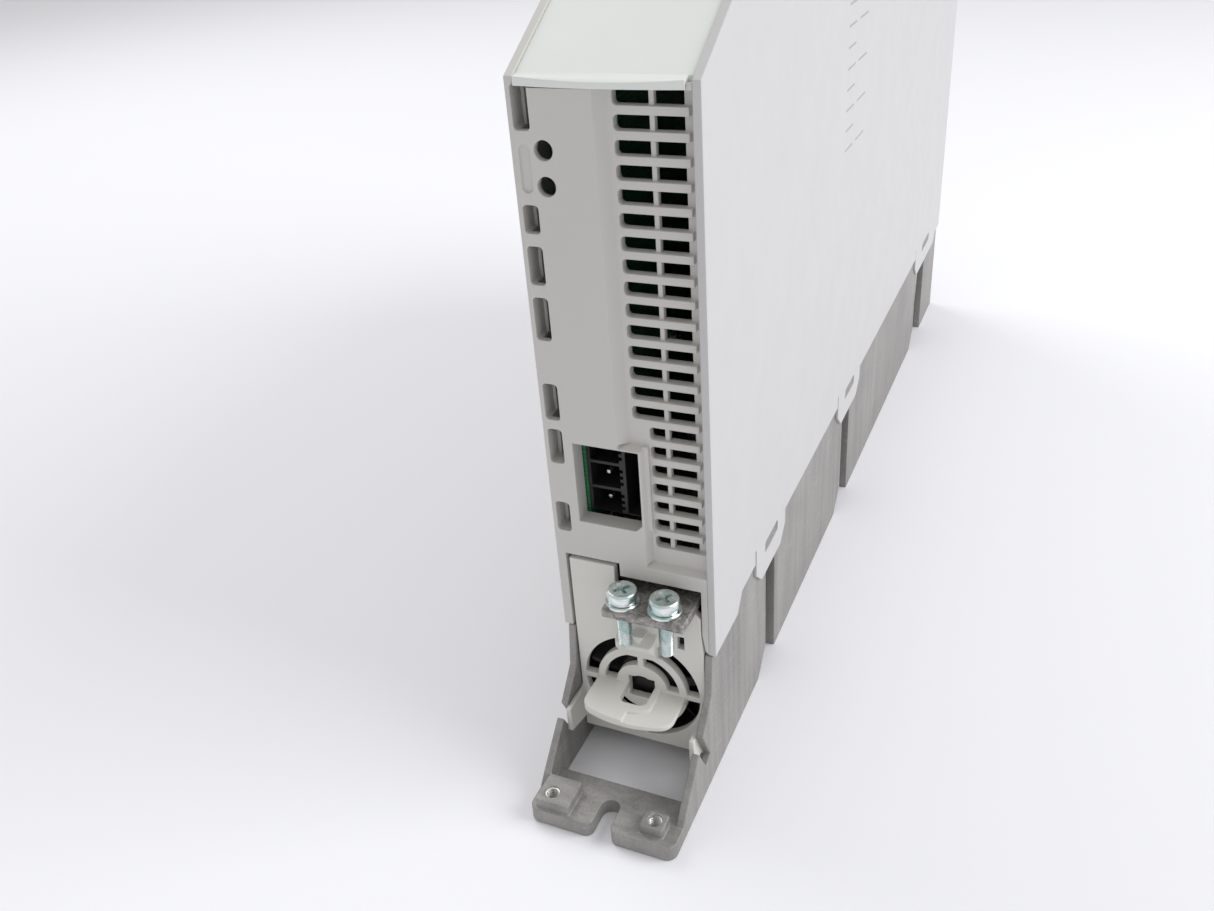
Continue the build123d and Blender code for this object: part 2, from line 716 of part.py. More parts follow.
with BuildPart() as fan_carrier:
    with BuildSketch(at_near(0)) as carrier_face:
        with BuildLine():
            Polyline(
                (-plate_half, carrier_foot),
                (plate_half, carrier_foot),
                (plate_half, corner_z - play),
                (leg_inner - play, skirt_z + cover_lap),
                (leg_inner - play, carrier_head - cover_wall),
                (leg_inner - play - cover_wall, carrier_head),
                (carrier_ear_right, carrier_head),
                (carrier_ear_right, carrier_ear_head),
                (-plate_half, carrier_ear_head),
                close=True,
            )
        make_face()
        with Locations((0, fan_z)):
            Circle(ring_opening, mode=Mode.SUBTRACT)
            Circle(ring_outer)
            Circle(ring_inner, mode=Mode.SUBTRACT)
            Rectangle(2 * ring_opening, spoke_width)
            Rectangle(spoke_width, 2 * ring_opening)
            Circle(hub_outer)
        with Locations((plate_half - peep_inset, fan_z + ring_opening + peep_rise)):
            Rectangle(peep_width, peep_height, mode=Mode.SUBTRACT)
    extrude(amount=-plate_depth)
    # press tab with an arrow rib
    with BuildSketch(Plane.YZ.offset(-press_half)):
        with BuildLine():
            Polyline(
                (near_y + plate_depth, press_head),
                (near_y, press_head),
                (near_y - press_reach, press_brow),
                (near_y - press_reach, press_lip),
                (near_y - spoke_width, fan_z + ring_outer + play),
                (near_y - spoke_width / 2, fan_z + ring_inner + play),
                (near_y + plate_depth, fan_z + ring_inner + play),
                close=True,
            )
        make_face()
    extrude(amount=2 * press_half)
    tab_edges = fan_carrier.edges().filter_by(Axis.Z).filter_by_position(
        Axis.Y, near_y - press_reach - play, near_y - press_reach + play
    )
    fillet(tab_edges, press_corner)
    with BuildSketch(at_near(-press_reach + cover_lap)):
        with Locations((arrow_half / 2, press_brow + arrow_height / 2)):
            Triangle(a=2 * arrow_half, b=arrow_height, c=arrow_height, rotation=180)
    extrude(amount=-press_reach)
    # pull grip: a shelf across the grille, its right half a step lower
    with BuildSketch(Plane.XY.offset(grip_top - grip_thickness)):
        add(grip_plan(grip_reach, -grip_half, grip_half, grip_bulge, grip_round))
    extrude(amount=grip_thickness - grip_step)
    with BuildSketch(Plane.XY.offset(grip_top - grip_step)):
        add(grip_plan(grip_reach, -grip_half, 0, grip_bulge, grip_round))
        add(grip_plan(rim_reach - rim_bulge, -rim_half, rim_half, rim_bulge, grip_corner))
    extrude(amount=grip_step)
    # keyed hole through hub and grip
    with BuildSketch(at_near(-play)):
        with Locations((0, fan_z)):
            Circle(hub_hole)
    extrude(amount=-2 * plate_depth, mode=Mode.SUBTRACT)
    with BuildSketch(Plane.XY.offset(grip_top - 2 * grip_thickness)) as grip_hole:
        with Locations((0, near_y - (grip_hole_reach - plate_depth) / 2)):
            Rectangle(2 * hub_hole, grip_hole_reach + plate_depth)
        fillet(grip_hole.vertices().group_by(Axis.Y)[0], grip_corner)
    extrude(amount=3 * grip_thickness, mode=Mode.SUBTRACT)
    # side arms with wedges that snap through the notches of the casting
    for side in (-1, 1):
        inside = side * (bay_half - arm_thickness)
        with BuildSketch(Plane.YZ.offset(inside)):
            with BuildLine():
                Polyline(
                    (near_y + plate_depth, arm_low_back),
                    (near_y + plate_depth, arm_head),
                    (near_y - arm_wedge, arm_head),
                    (near_y - arm_reach, arm_head - play),
                    (near_y - arm_reach, arm_low_front),
                    close=True,
                )
            make_face()
        extrude(amount=side * arm_thickness)
    # clips that hold the fan frame from above and below
    for clip_z, direction in (
        (fan_z - fan_half - clip_thickness, 1),
        (fan_z + fan_half, -1),
    ):
        with BuildSketch(at_near(plate_depth)):
            with Locations((0, clip_z + clip_thickness / 2)):
                Rectangle(clip_width, clip_thickness)
        extrude(amount=-(fan_depth + clip_hook))
        with BuildSketch(at_near(plate_depth + fan_depth)):
            with Locations((0, clip_z + clip_thickness / 2 + direction * clip_hook / 2)):
                Rectangle(clip_width, clip_thickness + clip_hook)
        extrude(amount=-clip_hook)
finish(fan_carrier.part, "fan_carrier")

# ================================================================ fan
fan_wall = 0.9
fan_hole_radius = 1.6
fan_hole_inset = 3.0
fan_cup = 9.6
strut_width = 2.0
strut_depth = 2.4
rotor_hub = 9.0
blade_play = 0.7              # blade tips to the fan's bore
blade_room = 4.6              # rotor to the struts
blade_count = 7
blade_thickness = 1.0
blade_pitch = 38.0
blade_spare = 1.3             # blades are cut from plates longer than the rotor
shaft_radius = 1.0
shaft_play = 0.05
shaft_end_play = 0.2
stator_play = 0.1
bearing_outer = 2.6
bearing_length = 8.0
rotor_gap = 1.0
stator_radius = 7.2
stator_depth = 5.0
rotor_wall = 1.2

fan_bore = fan_half - fan_wall
fan_hole_spacing = 2 * (fan_half - fan_hole_inset)
rotor_tip = fan_bore - blade_play
rotor_depth = fan_depth - strut_depth - blade_room
fan_front = near_y + plate_depth
fan_back = fan_front + fan_depth
rotor_front = fan_front + rotor_gap
rotor_back = rotor_front + rotor_depth
cup_front = fan_back - strut_depth


def fan_plane(y):
    """Plane across the fan's axis at this length, facing the near end."""
    return Plane((0, y, fan_z), x_dir=(1, 0, 0), z_dir=(0, -1, 0))


with BuildPart() as fan_frame:
    with BuildSketch(fan_plane(fan_front)) as fan_square:
        Rectangle(2 * fan_half, 2 * fan_half)
        fillet(fan_square.vertices(), cover_wall)
        Circle(fan_bore, mode=Mode.SUBTRACT)
        with GridLocations(fan_hole_spacing, fan_hole_spacing, 2, 2):
            Circle(fan_hole_radius, mode=Mode.SUBTRACT)
    extrude(amount=-fan_depth)
    with BuildSketch(fan_plane(cup_front)):
        Circle(fan_cup)
        with PolarLocations(fan_bore / 2, 3, start_angle=90):
            Rectangle(fan_bore, strut_width)
    extrude(amount=-strut_depth)
    with BuildSketch(fan_plane(cup_front)):
        Circle(bearing_outer + rotor_wall)
        Circle(bearing_outer, mode=Mode.SUBTRACT)
    extrude(amount=bearing_length)
finish(fan_frame.part, "fan_frame")

with BuildPart() as fan_bearing:
    with BuildSketch(fan_plane(cup_front)):
        Circle(bearing_outer)
        Circle(shaft_radius + shaft_play, mode=Mode.SUBTRACT)
    extrude(amount=bearing_length)
finish(fan_bearing.part, "fan_bearing")

with BuildPart() as fan_stator:
    with BuildSketch(fan_plane(cup_front)):
        Circle(stator_radius)
        Circle(bearing_outer + rotor_wall + stator_play, mode=Mode.SUBTRACT)
        with PolarLocations(stator_radius, 4, start_angle=45):
            Rectangle(rotor_wall, rotor_wall, mode=Mode.SUBTRACT)
    extrude(amount=stator_depth)
finish(fan_stator.part, "fan_stator")

with BuildPart() as fan_rotor:
    with BuildSketch(fan_plane(rotor_front)):
        Circle(rotor_hub)
    extrude(amount=-rotor_depth)
    with Locations(fan_plane(rotor_front + rotor_depth / 2)):
        blade_length = rotor_tip - rotor_hub + 2 * rotor_wall
        with PolarLocations(rotor_hub - 2 * rotor_wall + blade_length / 2, blade_count):
            Box(
                blade_length,
                rotor_depth * blade_spare,
                blade_thickness,
                rotation=(blade_pitch, 0, 0),
            )
    with BuildSketch(fan_plane(rotor_front)):
        Circle(rotor_tip)
    extrude(amount=-rotor_depth, mode=Mode.INTERSECT)
    # cup around the stator and a boss on the shaft
    with BuildSketch(fan_plane(rotor_back)):
        Circle(rotor_hub - rotor_wall)
        Circle(shaft_radius, mode=Mode.SUBTRACT)
    extrude(amount=rotor_depth - rotor_wall, mode=Mode.SUBTRACT)
    with BuildSketch(fan_plane(rotor_front + rotor_wall)):
        Circle(shaft_radius + rotor_wall)
        Circle(shaft_radius, mode=Mode.SUBTRACT)
    extrude(amount=-rotor_wall)
    with BuildSketch(fan_plane(rotor_front + rotor_wall)):
        Circle(shaft_radius)
    extrude(amount=-rotor_depth, mode=Mode.SUBTRACT)
finish(fan_rotor.part, "fan_rotor")

with BuildPart() as fan_shaft:
    with BuildSketch(fan_plane(rotor_front + rotor_wall)):
        Circle(shaft_radius)
    extrude(amount=-(cup_front - rotor_front - rotor_wall - shaft_end_play))
finish(fan_shaft.part, "fan_shaft")

# ================================================================ earth bar and screws
bar_reach = 10.5
bar_seat = 16.0
bar_chamfer = 0.5
bar_hole_inset = (4.4, 6.7)   # earth screws from the bar's left and right edges
seat_hole_inset = (5.9, 5.6)
earth_screw_reach = 6.0
screw_radius = 2.0
thread_play = 0.05
flat_washer_radius = 4.6
flat_washer_thickness = 0.8
spring_washer_radius = 3.8
spring_washer_thickness = 1.0
spring_washer_split = 0.9
washer_play = 0.3
head_radius = 4.1
head_height = 2.6
head_crown = 0.9
cross_span = 4.6
cross_width = 0.9
cross_depth = 1.7
screw_tail = 11.5             # thread below the underside of the bar
seat_screw_radius = 1.5
seat_head_radius = 2.9
seat_cross = 2.6

earth_screw_x = (bar_left + bar_hole_inset[0], bar_right - bar_hole_inset[1])
seat_screw_x = (bar_left + seat_hole_inset[0], bar_right - seat_hole_inset[1])
bar_back = near_y + bay_length + bar_seat
earth_screw_y = near_y - earth_screw_reach
head_foot = bar_top + flat_washer_thickness + spring_washer_thickness

with BuildPart() as earth_bar:
    with BuildSketch(Plane.XY.offset(deck_z)):
        with Locations(((bar_left + bar_right) / 2, (near_y - bar_reach + bar_back) / 2)):
            Rectangle(bar_right - bar_left, bar_back - near_y + bar_reach)
    extrude(amount=bar_thickness)
    chamfer(earth_bar.edges().filter_by(Axis.X).group_by(Axis.Y)[0], bar_chamfer)
    with Locations(*[(x, earth_screw_y, bar_top) for x in earth_screw_x]):
        Hole(screw_radius + thread_play, depth=bar_thickness)
    with Locations(*[(x, bar_back - bar_seat / 2, bar_top) for x in seat_screw_x]):
        CounterSinkHole(seat_screw_radius, seat_head_radius, depth=bar_thickness)
finish(earth_bar.part, "earth_bar")

with BuildPart() as bar_seat_screws:
    for x in seat_screw_x:
        with BuildSketch(Plane.XY.offset(deck_z)):
            with Locations((x, bar_back - bar_seat / 2)):
                Circle(seat_screw_radius)
        extrude(amount=bar_thickness)
        cone_height = seat_head_radius - seat_screw_radius
        with Locations((x, bar_back - bar_seat / 2, bar_top - cone_height / 2)):
            Cone(seat_screw_radius, seat_head_radius, cone_height)
        with Locations((x, bar_back - bar_seat / 2, bar_top)):
            Box(seat_cross, cross_width, cross_width, mode=Mode.SUBTRACT)
            Box(cross_width, seat_cross, cross_width, mode=Mode.SUBTRACT)
finish(bar_seat_screws.part, "bar_seat_screws")

for side, x in zip(("left", "right"), earth_screw_x):
    with BuildPart() as flat_washer:
        with BuildSketch(Plane.XY.offset(bar_top)):
            with Locations((x, earth_screw_y)):
                Circle(flat_washer_radius)
                Circle(screw_radius + washer_play, mode=Mode.SUBTRACT)
        extrude(amount=flat_washer_thickness)
    finish(flat_washer.part, f"earth_flat_washer_{side}")

    with BuildPart() as spring_washer:
        with BuildSketch(Plane.XY.offset(bar_top + flat_washer_thickness)):
            with Locations((x, earth_screw_y)):
                Circle(spring_washer_radius)
                Circle(screw_radius + washer_play, mode=Mode.SUBTRACT)
            with Locations((x + spring_washer_radius / 2, earth_screw_y)):
                Rectangle(2 * spring_washer_radius, spring_washer_split, mode=Mode.SUBTRACT)
        extrude(amount=spring_washer_thickness)
    finish(spring_washer.part, f"earth_spring_washer_{side}")

    with BuildPart() as earth_screw:
        with BuildSketch(Plane.XY.offset(head_foot)):
            with Locations((x, earth_screw_y)):
                Circle(head_radius)
        extrude(amount=head_height)
        fillet(earth_screw.edges().group_by(Axis.Z)[-1], head_crown)
        with BuildSketch(Plane.XY.offset(head_foot + head_height)):
            with Locations((x, earth_screw_y)):
                Rectangle(cross_span, cross_width, rotation=45)
                Rectangle(cross_width, cross_span, rotation=45)
        extrude(amount=-cross_depth, mode=Mode.SUBTRACT)
        with BuildSketch(Plane.XY.offset(head_foot)):
            with Locations((x, earth_screw_y)):
                Circle(screw_radius)
        extrude(amount=-(head_foot - deck_z + screw_tail))
        chamfer(earth_screw.edges().group_by(Axis.Z)[0], bar_chamfer)
    finish(earth_screw.part, f"earth_screw_{side}")

# ================================================================ boards and their supports
board_play = 0.4              # boards to the end panel
board_far = 8.0
control_rise = 14.0           # control board above the base
front_board_drop = 24.0       # front board below the front
front_board_start = 2.0       # front board behind the slope
front_board_far = 16.0
shoulder_drop = 14.0          # control board below the foot of the slope
pillar_radius = 2.6
pillar_reaches = (70.0, middle + 13.5, housing_length - 43.0)
low_pillar_rise = 30.0        # above the control board's foot
high_pillar_rise = 2.5        # above its shoulder
board_screw_radius = 1.5
board_head_radius = 2.7
board_head_height = 1.8
power_board_rise = 18.0
power_board_near = 62.0
power_board_far = 16.0
post_reaches = (70.0, housing_length - 28.0)
post_inset = (5.0, 3.2)
edge_play = 0.8

board_near = panel_depth + board_play
control_foot = deck_z + control_rise
power_board_z = deck_z + power_board_rise
front_board_near = slope_run + front_board_start
control_head = drive_depth - front_board_drop - board_thickness
control_shoulder = end_height - shoulder_drop
control_slope = (control_head - control_shoulder) / tan(radians(slope_angle))
front_board_z = control_head
power_left = control_right + edge_play
power_right = inner_half - play - cover_wall
post_x = (power_left + post_inset[0], power_right - post_inset[1])
pillar_spots = [
    (near_y + reach, height)
    for reach in pillar_reaches
    for height in (control_foot + low_pillar_rise, control_shoulder + high_pillar_rise)
]

with BuildPart() as control_board:
    with BuildSketch(Plane.YZ.offset(control_left)):
        with BuildLine():
            Polyline(
                (near_y + board_near, control_foot),
                (near_y + board_near, control_shoulder),
                (near_y + board_near + control_slope, control_head),
                (far_y - board_far, control_head),
                (far_y - board_far, control_foot),
                close=True,
            )
        make_face()
        with Locations(*pillar_spots):
            Circle(board_screw_radius, mode=Mode.SUBTRACT)
    extrude(amount=board_thickness)
finish(control_board.part, "control_board")

with BuildPart() as board_pillars:
    with BuildSketch(Plane.YZ.offset(-inner_half)):
        with Locations(*pillar_spots):
            RegularPolygon(pillar_radius, 6)
            Circle(board_screw_radius, mode=Mode.SUBTRACT)
    extrude(amount=board_gap)
finish(board_pillars.part, "board_pillars")

with BuildPart() as board_screws:
    with BuildSketch(Plane.YZ.offset(control_right)):
        with Locations(*pillar_spots):
            Circle(board_head_radius)
    extrude(amount=board_head_height)
    with BuildSketch(Plane.YZ.offset(control_right + board_head_height)):
        with Locations(*pillar_spots):
            Rectangle(board_head_radius, cross_width)
            Rectangle(cross_width, board_head_radius)
    extrude(amount=-cross_width, mode=Mode.SUBTRACT)
    with BuildSketch(Plane.YZ.offset(control_right)):
        with Locations(*pillar_spots):
            Circle(board_screw_radius)
    extrude(amount=-(board_gap - edge_play))
finish(board_screws.part, "board_screws")

power_mid = (power_left + power_right) / 2
power_board_length = housing_length - power_board_near - power_board_far
power_board_y = near_y + power_board_near + power_board_length / 2
with BuildPart() as power_board:
    with BuildSketch(Plane.XY.offset(power_board_z)):
        with Locations((power_mid, power_board_y)):
            Rectangle(power_right - power_left, power_board_length)
    extrude(amount=board_thickness)
finish(power_board.part, "power_board")

with BuildPart() as power_board_posts:
    with BuildSketch(Plane.XY.offset(deck_z)):
        with Locations(*[(x, near_y + reach) for reach in post_reaches for x in post_x]):
            RegularPolygon(pillar_radius, 6)
    extrude(amount=power_board_z - deck_z)
finish(power_board_posts.part, "power_board_posts")

front_board_length = housing_length - front_board_near - front_board_far
front_board_y = near_y + front_board_near + front_board_length / 2
with BuildPart() as front_board:
    with BuildSketch(Plane.XY.offset(front_board_z)):
        with Locations(((control_left + power_right) / 2, front_board_y)):
            Rectangle(power_right - control_left, front_board_length)
    extrude(amount=board_thickness)
finish(front_board.part, "front_board")

# ================================================================ power parts
module_reach = 96.0
module_width = 24.0
module_length = 62.0
module_height = 12.0
module_margin = 3.0           # module to the casting's right wall
module_ear = 7.0
module_ear_height = 3.0
pad_thickness = 0.3
module_screw_radius = 2.0
module_screw_play = 0.2
module_head_radius = 3.0
module_head_height = 2.4
pin_radius = 0.5
pin_pitch = 7.0
pin_rows = 8
capacitor_margin = 1.1        # capacitors and choke inside the board's edges
capacitor_spacing = 3.0
capacitor_start = 165.5
capacitor_height = 50.0
capacitor_groove = 4.0
relay_size = (14.0, 29.0, 16.0)
relay_reach = 92.0
relay_inset = 2.2
sensor_size = (12.0, 16.0, 14.0)
sensor_reaches = (122.0, 142.0)
sensor_window = 8.0
sensor_inset = 0.2
choke_setback = 57.0          # choke in front of the far end
choke_margin = 1.6
choke_band = 7.0
choke_height = 13.0
board_top = power_board_z + board_thickness
power_half = (power_right - power_left) / 2
capacitor_radius = power_half - capacitor_margin
choke_outer = power_half - choke_margin
choke_y = far_y - choke_setback
capacitor_pitch = 2 * capacitor_radius + capacitor_spacing
capacitor_room = choke_y - choke_outer - near_y - capacitor_start
capacitor_count = int(capacitor_room / capacitor_pitch)
relay_x = power_right - relay_inset - relay_size[0] / 2
sensor_x = power_right - sensor_inset - sensor_size[0] / 2
module_x = duct_half - module_margin - module_width / 2
module_y = near_y + module_reach + module_length / 2
module_screw_y = module_length / 2 + module_ear / 2

with BuildPart() as thermal_pad:
    with BuildSketch(Plane.XY.offset(deck_z)):
        with Locations((module_x, module_y)):
            Rectangle(module_width, module_length)
    extrude(amount=pad_thickness)
finish(thermal_pad.part, "thermal_pad")

with BuildPart() as power_module:
    with BuildSketch(Plane.XY.offset(deck_z + pad_thickness)):
        with Locations((module_x, module_y)):
            Rectangle(module_width, module_length)
    extrude(amount=module_height)
    with BuildSketch(Plane.XY.offset(deck_z + pad_thickness)):
        with Locations((module_x, module_y)):
            Rectangle(module_width, module_length + 2 * module_ear)
            with GridLocations(0, 2 * module_screw_y, 1, 2):
                Circle(module_screw_radius + module_screw_play, mode=Mode.SUBTRACT)
    extrude(amount=module_ear_height)
finish(power_module.part, "power_module")

with BuildPart() as module_screws:
    head_z = deck_z + pad_thickness + module_ear_height
    for direction in (-1, 1):
        with BuildSketch(Plane.XY.offset(head_z)):
            with Locations((module_x, module_y + direction * module_screw_y)):
                Circle(module_head_radius)
        extrude(amount=module_head_height)
        with BuildSketch(Plane.XY.offset(head_z)):
            with Locations((module_x, module_y + direction * module_screw_y)):
                Circle(module_screw_radius)
        extrude(amount=-(head_z - deck_z))
finish(module_screws.part, "module_screws")

with BuildPart() as module_pins:
    with BuildSketch(Plane.XY.offset(deck_z + pad_thickness + module_height)):
        with Locations((module_x, module_y)):
            with GridLocations(module_width - pin_pitch, pin_pitch, 2, pin_rows):
                Circle(pin_radius)
    extrude(amount=power_board_z - deck_z - pad_thickness - module_height)
finish(module_pins.part, "module_pins")

capacitor_spots = [
    (power_mid, near_y + capacitor_start + capacitor_radius + index * capacitor_pitch)
    for index in range(capacitor_count)
]
with BuildPart() as dc_link_capacitors:
    with BuildSketch(Plane.XY.offset(board_top)):
        with Locations(*capacitor_spots):
            Circle(capacitor_radius)
    extrude(amount=capacitor_height)
    fillet(dc_link_capacitors.edges().group_by(Axis.Z)[-1], bar_chamfer)
    with BuildSketch(Plane.XY.offset(board_top + capacitor_groove)):
        with Locations(*capacitor_spots):
            Circle(capacitor_radius)
            Circle(capacitor_radius - bar_chamfer, mode=Mode.SUBTRACT)
    extrude(amount=cover_lap, mode=Mode.SUBTRACT)
finish(dc_link_capacitors.part, "dc_link_capacitors")

with BuildPart() as precharge_relay:
    with BuildSketch(Plane.XY.offset(board_top)):
        with Locations((relay_x, near_y + relay_reach)):
            RectangleRounded(relay_size[0], relay_size[1], bar_chamfer)
    extrude(amount=relay_size[2])
finish(precharge_relay.part, "precharge_relay")

with BuildPart() as current_sensors:
    for reach in sensor_reaches:
        with BuildSketch(Plane.XY.offset(board_top)):
            with Locations((sensor_x, near_y + reach)):
                Rectangle(sensor_size[0], sensor_size[1])
        extrude(amount=sensor_size[2])
        with BuildSketch(Plane.YZ.offset(sensor_x - sensor_size[0])):
            with Locations((near_y + reach, board_top + sensor_size[2] / 2)):
                Rectangle(sensor_window, sensor_window)
        extrude(amount=2 * sensor_size[0], mode=Mode.SUBTRACT)
finish(current_sensors.part, "current_sensors")

with BuildPart() as filter_choke:
    with BuildSketch(Plane.XY.offset(board_top)):
        with Locations((power_mid, choke_y)):
            Circle(choke_outer)
            Circle(choke_outer - choke_band, mode=Mode.SUBTRACT)
    extrude(amount=choke_height)
    fillet(filter_choke.edges().filter_by(GeomType.CIRCLE), cover_wall)
finish(filter_choke.part, "filter_choke")

# ================================================================ terminal header
poles = 3
pole_pitch = 7.62
header_setback = 0.2          # plug header behind the control board's edge
header_depth = 13.0
header_wall = 0.9
header_margin = 0.35
cavity_width = 8.2
cavity_depth = 10.0
key_pitch = 1.9
key_depth = 0.9
header_pin = 1.0
header_pin_length = 8.0

header_front = board_near + header_setback
header_low = (terminal_low + terminal_high) / 2 - poles * pole_pitch / 2
header_x = header_left + header_width / 2
cavity_x = header_left + header_wall + cavity_width / 2
key_x = cavity_x + cavity_width / 2

with BuildPart() as io_header:
    with BuildSketch(at_near(header_front)):
        with Locations((header_x, header_low + poles * pole_pitch / 2)):
            Rectangle(header_width, poles * pole_pitch - 2 * header_margin)
    extrude(amount=-header_depth)
    for pole in range(poles):
        pole_z = header_low + (pole + 0.5) * pole_pitch
        with BuildSketch(at_near(header_front)):
            with Locations((cavity_x, pole_z)):
                Rectangle(cavity_width, pole_pitch - header_wall)
            # coding ribs beside each cavity
            with Locations((key_x + key_depth / 2, pole_z)):
                with GridLocations(0, key_pitch, 1, 3):
                    Rectangle(key_depth, key_pitch / 2)
        extrude(amount=-cavity_depth, mode=Mode.SUBTRACT)
    latch_left = key_x + 2 * key_depth
    latch_right = header_left + header_width - header_wall
    with BuildSketch(at_near(header_front)):
        with Locations(((latch_left + latch_right) / 2, header_low + poles * pole_pitch / 2)):
            Rectangle(latch_right - latch_left, poles * pole_pitch - 4 * header_margin)
    extrude(amount=-cavity_depth, mode=Mode.SUBTRACT)
finish(io_header.part, "io_header")

with BuildPart() as io_header_pins:
    with BuildSketch(at_near(header_front + cavity_depth)):
        with Locations((cavity_x, header_low + poles * pole_pitch / 2)):
            with GridLocations(0, pole_pitch, 1, poles):
                Rectangle(header_pin, header_pin)
    extrude(amount=header_pin_length)
finish(io_header_pins.part, "io_header_pins")

# ================================================================ parts under the front
front_top = drive_depth - wall_proud
front_board_top = front_board_z + board_thickness
front_play = 0.3
port_wall = 1.0
port_depth = 12.0
network_width = 14.0
network_pitch = 16.6
plug_key = 3.0
motor_poles = 4
supply_poles = 3
lens_sink = 0.2

windows = {name: (near_y + reach, length, width) for name, reach, length, width in front_windows}


def header_cavities(name, count):
    """Sizes of a row of square plug cavities behind one window of the front."""
    y, length, width = windows[name]
    pitch = (length - 2 * front_play - 2 * port_wall) / count
    return y, pitch, pitch - port_wall, width - 2 * front_play - 2 * port_wall


def power_header(name, count):
    """A pluggable power header behind its window, with one cavity for each pole."""
    y, length, width = windows[name]
    _, pitch, cavity_length, cavity_span = header_cavities(name, count)
    with BuildPart() as header:
        with BuildSketch(Plane.XY.offset(front_board_top)):
            with Locations((0, y)):
                Rectangle(width - 2 * front_play, length - 2 * front_play)
        extrude(amount=front_top - front_board_top)
        with BuildSketch(Plane.XY.offset(front_top)):
            with Locations((0, y)):
                with GridLocations(0, pitch, 1, count):
                    RectangleRounded(cavity_span, cavity_length, bar_chamfer)
        extrude(amount=-port_depth, mode=Mode.SUBTRACT)
    return header.part


def header_blades(name, count):
    """Contact blades that stand in the cavities of a power header."""
    y, pitch, _, _ = header_cavities(name, count)
    with BuildPart() as blades:
        with BuildSketch(Plane.XY.offset(front_top - port_depth)):
            with Locations((0, y)):
                with GridLocations(0, pitch, 1, count):
                    Rectangle(plug_key, header_pin)
        extrude(amount=port_depth / 2)
    return blades.part


for header_name, pole_count in (("motor_header", motor_poles), ("supply_header", supply_poles)):
    finish(power_header(header_name, pole_count), header_name)
    finish(header_blades(header_name, pole_count), f"{header_name}_blades")

with BuildPart() as network_ports:
    y, _, width = windows["network_port"]
    for direction in (-1, 1):
        port_y = y + direction * network_pitch / 2
        with BuildSketch(Plane.XY.offset(front_board_top)):
            with Locations((0, port_y)):
                Rectangle(width - 2 * front_play, network_width)
        extrude(amount=front_top - front_board_top)
        with BuildSketch(Plane.XY.offset(front_top)):
            with Locations((-port_wall, port_y)):
                Rectangle(width - 2 * front_play - 4 * port_wall, network_width - 2 * port_wall)
            with Locations((width / 2 - 2 * port_wall, port_y)):
                Rectangle(plug_key, network_width / 3)
        extrude(amount=-port_depth, mode=Mode.SUBTRACT)
finish(network_ports.part, "network_ports")

with BuildPart() as feedback_port:
    y, length, width = windows["feedback_port"]
    with BuildSketch(Plane.XY.offset(front_board_top)):
        with Locations((0, y)):
            RectangleRounded(width - 2 * front_play, length - 2 * front_play, window_corner)
    extrude(amount=front_top - front_board_top)
    with BuildSketch(Plane.XY.offset(front_top)):
        with Locations((0, y)):
            RectangleRounded(width / 2, length - 2 * front_play - 4 * port_wall, cover_wall)
    extrude(amount=-port_depth / 2, mode=Mode.SUBTRACT)
finish(feedback_port.part, "feedback_port")

with BuildPart() as status_display:
    y, length, width = windows["status_lens"]
    with BuildSketch(Plane.XY.offset(front_board_top)):
        with Locations((0, y)):
            Rectangle(width - 4 * front_play, length - 4 * front_play)
    extrude(amount=front_top - cover_wall - front_board_top)
finish(status_display.part, "status_display")

with BuildPart() as status_lens:
    with BuildSketch(Plane.XY.offset(front_top - cover_wall)):
        with Locations((0, y)):
            RectangleRounded(width, length, window_corner)
    extrude(amount=cover_wall - lens_sink)
finish(status_lens.part, "status_lens")
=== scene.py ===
import json
from math import cos, pi, radians, sin, tau

import bmesh
import bpy
from bpy.props import FloatProperty, FloatVectorProperty, IntProperty, PointerProperty
from mathutils import Matrix, Vector

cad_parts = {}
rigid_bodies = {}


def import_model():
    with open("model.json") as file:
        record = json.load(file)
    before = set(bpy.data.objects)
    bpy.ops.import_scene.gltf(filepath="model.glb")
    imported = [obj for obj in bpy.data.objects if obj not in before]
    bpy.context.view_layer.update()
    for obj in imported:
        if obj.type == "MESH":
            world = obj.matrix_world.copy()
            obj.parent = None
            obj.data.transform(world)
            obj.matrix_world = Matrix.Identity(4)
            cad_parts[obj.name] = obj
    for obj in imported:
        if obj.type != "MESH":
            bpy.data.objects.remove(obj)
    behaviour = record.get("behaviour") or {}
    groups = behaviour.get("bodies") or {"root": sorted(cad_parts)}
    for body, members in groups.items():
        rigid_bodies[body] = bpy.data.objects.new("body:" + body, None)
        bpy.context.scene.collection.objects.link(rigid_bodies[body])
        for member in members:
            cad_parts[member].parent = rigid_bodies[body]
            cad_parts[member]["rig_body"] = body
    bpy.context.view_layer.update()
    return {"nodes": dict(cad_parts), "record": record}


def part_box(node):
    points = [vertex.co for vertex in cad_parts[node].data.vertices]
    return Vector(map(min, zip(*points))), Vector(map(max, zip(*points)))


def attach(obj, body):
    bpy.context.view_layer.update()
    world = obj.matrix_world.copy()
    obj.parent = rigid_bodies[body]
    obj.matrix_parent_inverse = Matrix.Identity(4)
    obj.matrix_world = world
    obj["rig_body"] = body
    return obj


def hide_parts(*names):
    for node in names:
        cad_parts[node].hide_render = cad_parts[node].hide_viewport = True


bl_info = {
    "name": "Servo drive",
    "version": (1, 0, 0),
    "blender": (4, 5, 0),
    "location": "View3D > Sidebar > Drive",
    "description": "Slim servo drive: casting, covers, fan carrier, earth bar and headers",
    "category": "Object",
}

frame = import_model()
MM = 0.001
slot_of = {part["node"]: part["material_slot"] for part in frame["record"]["subparts"]}
mount_at = {mount["name"]: Vector(mount["pos_m"]) for mount in frame["record"]["mounts"]}


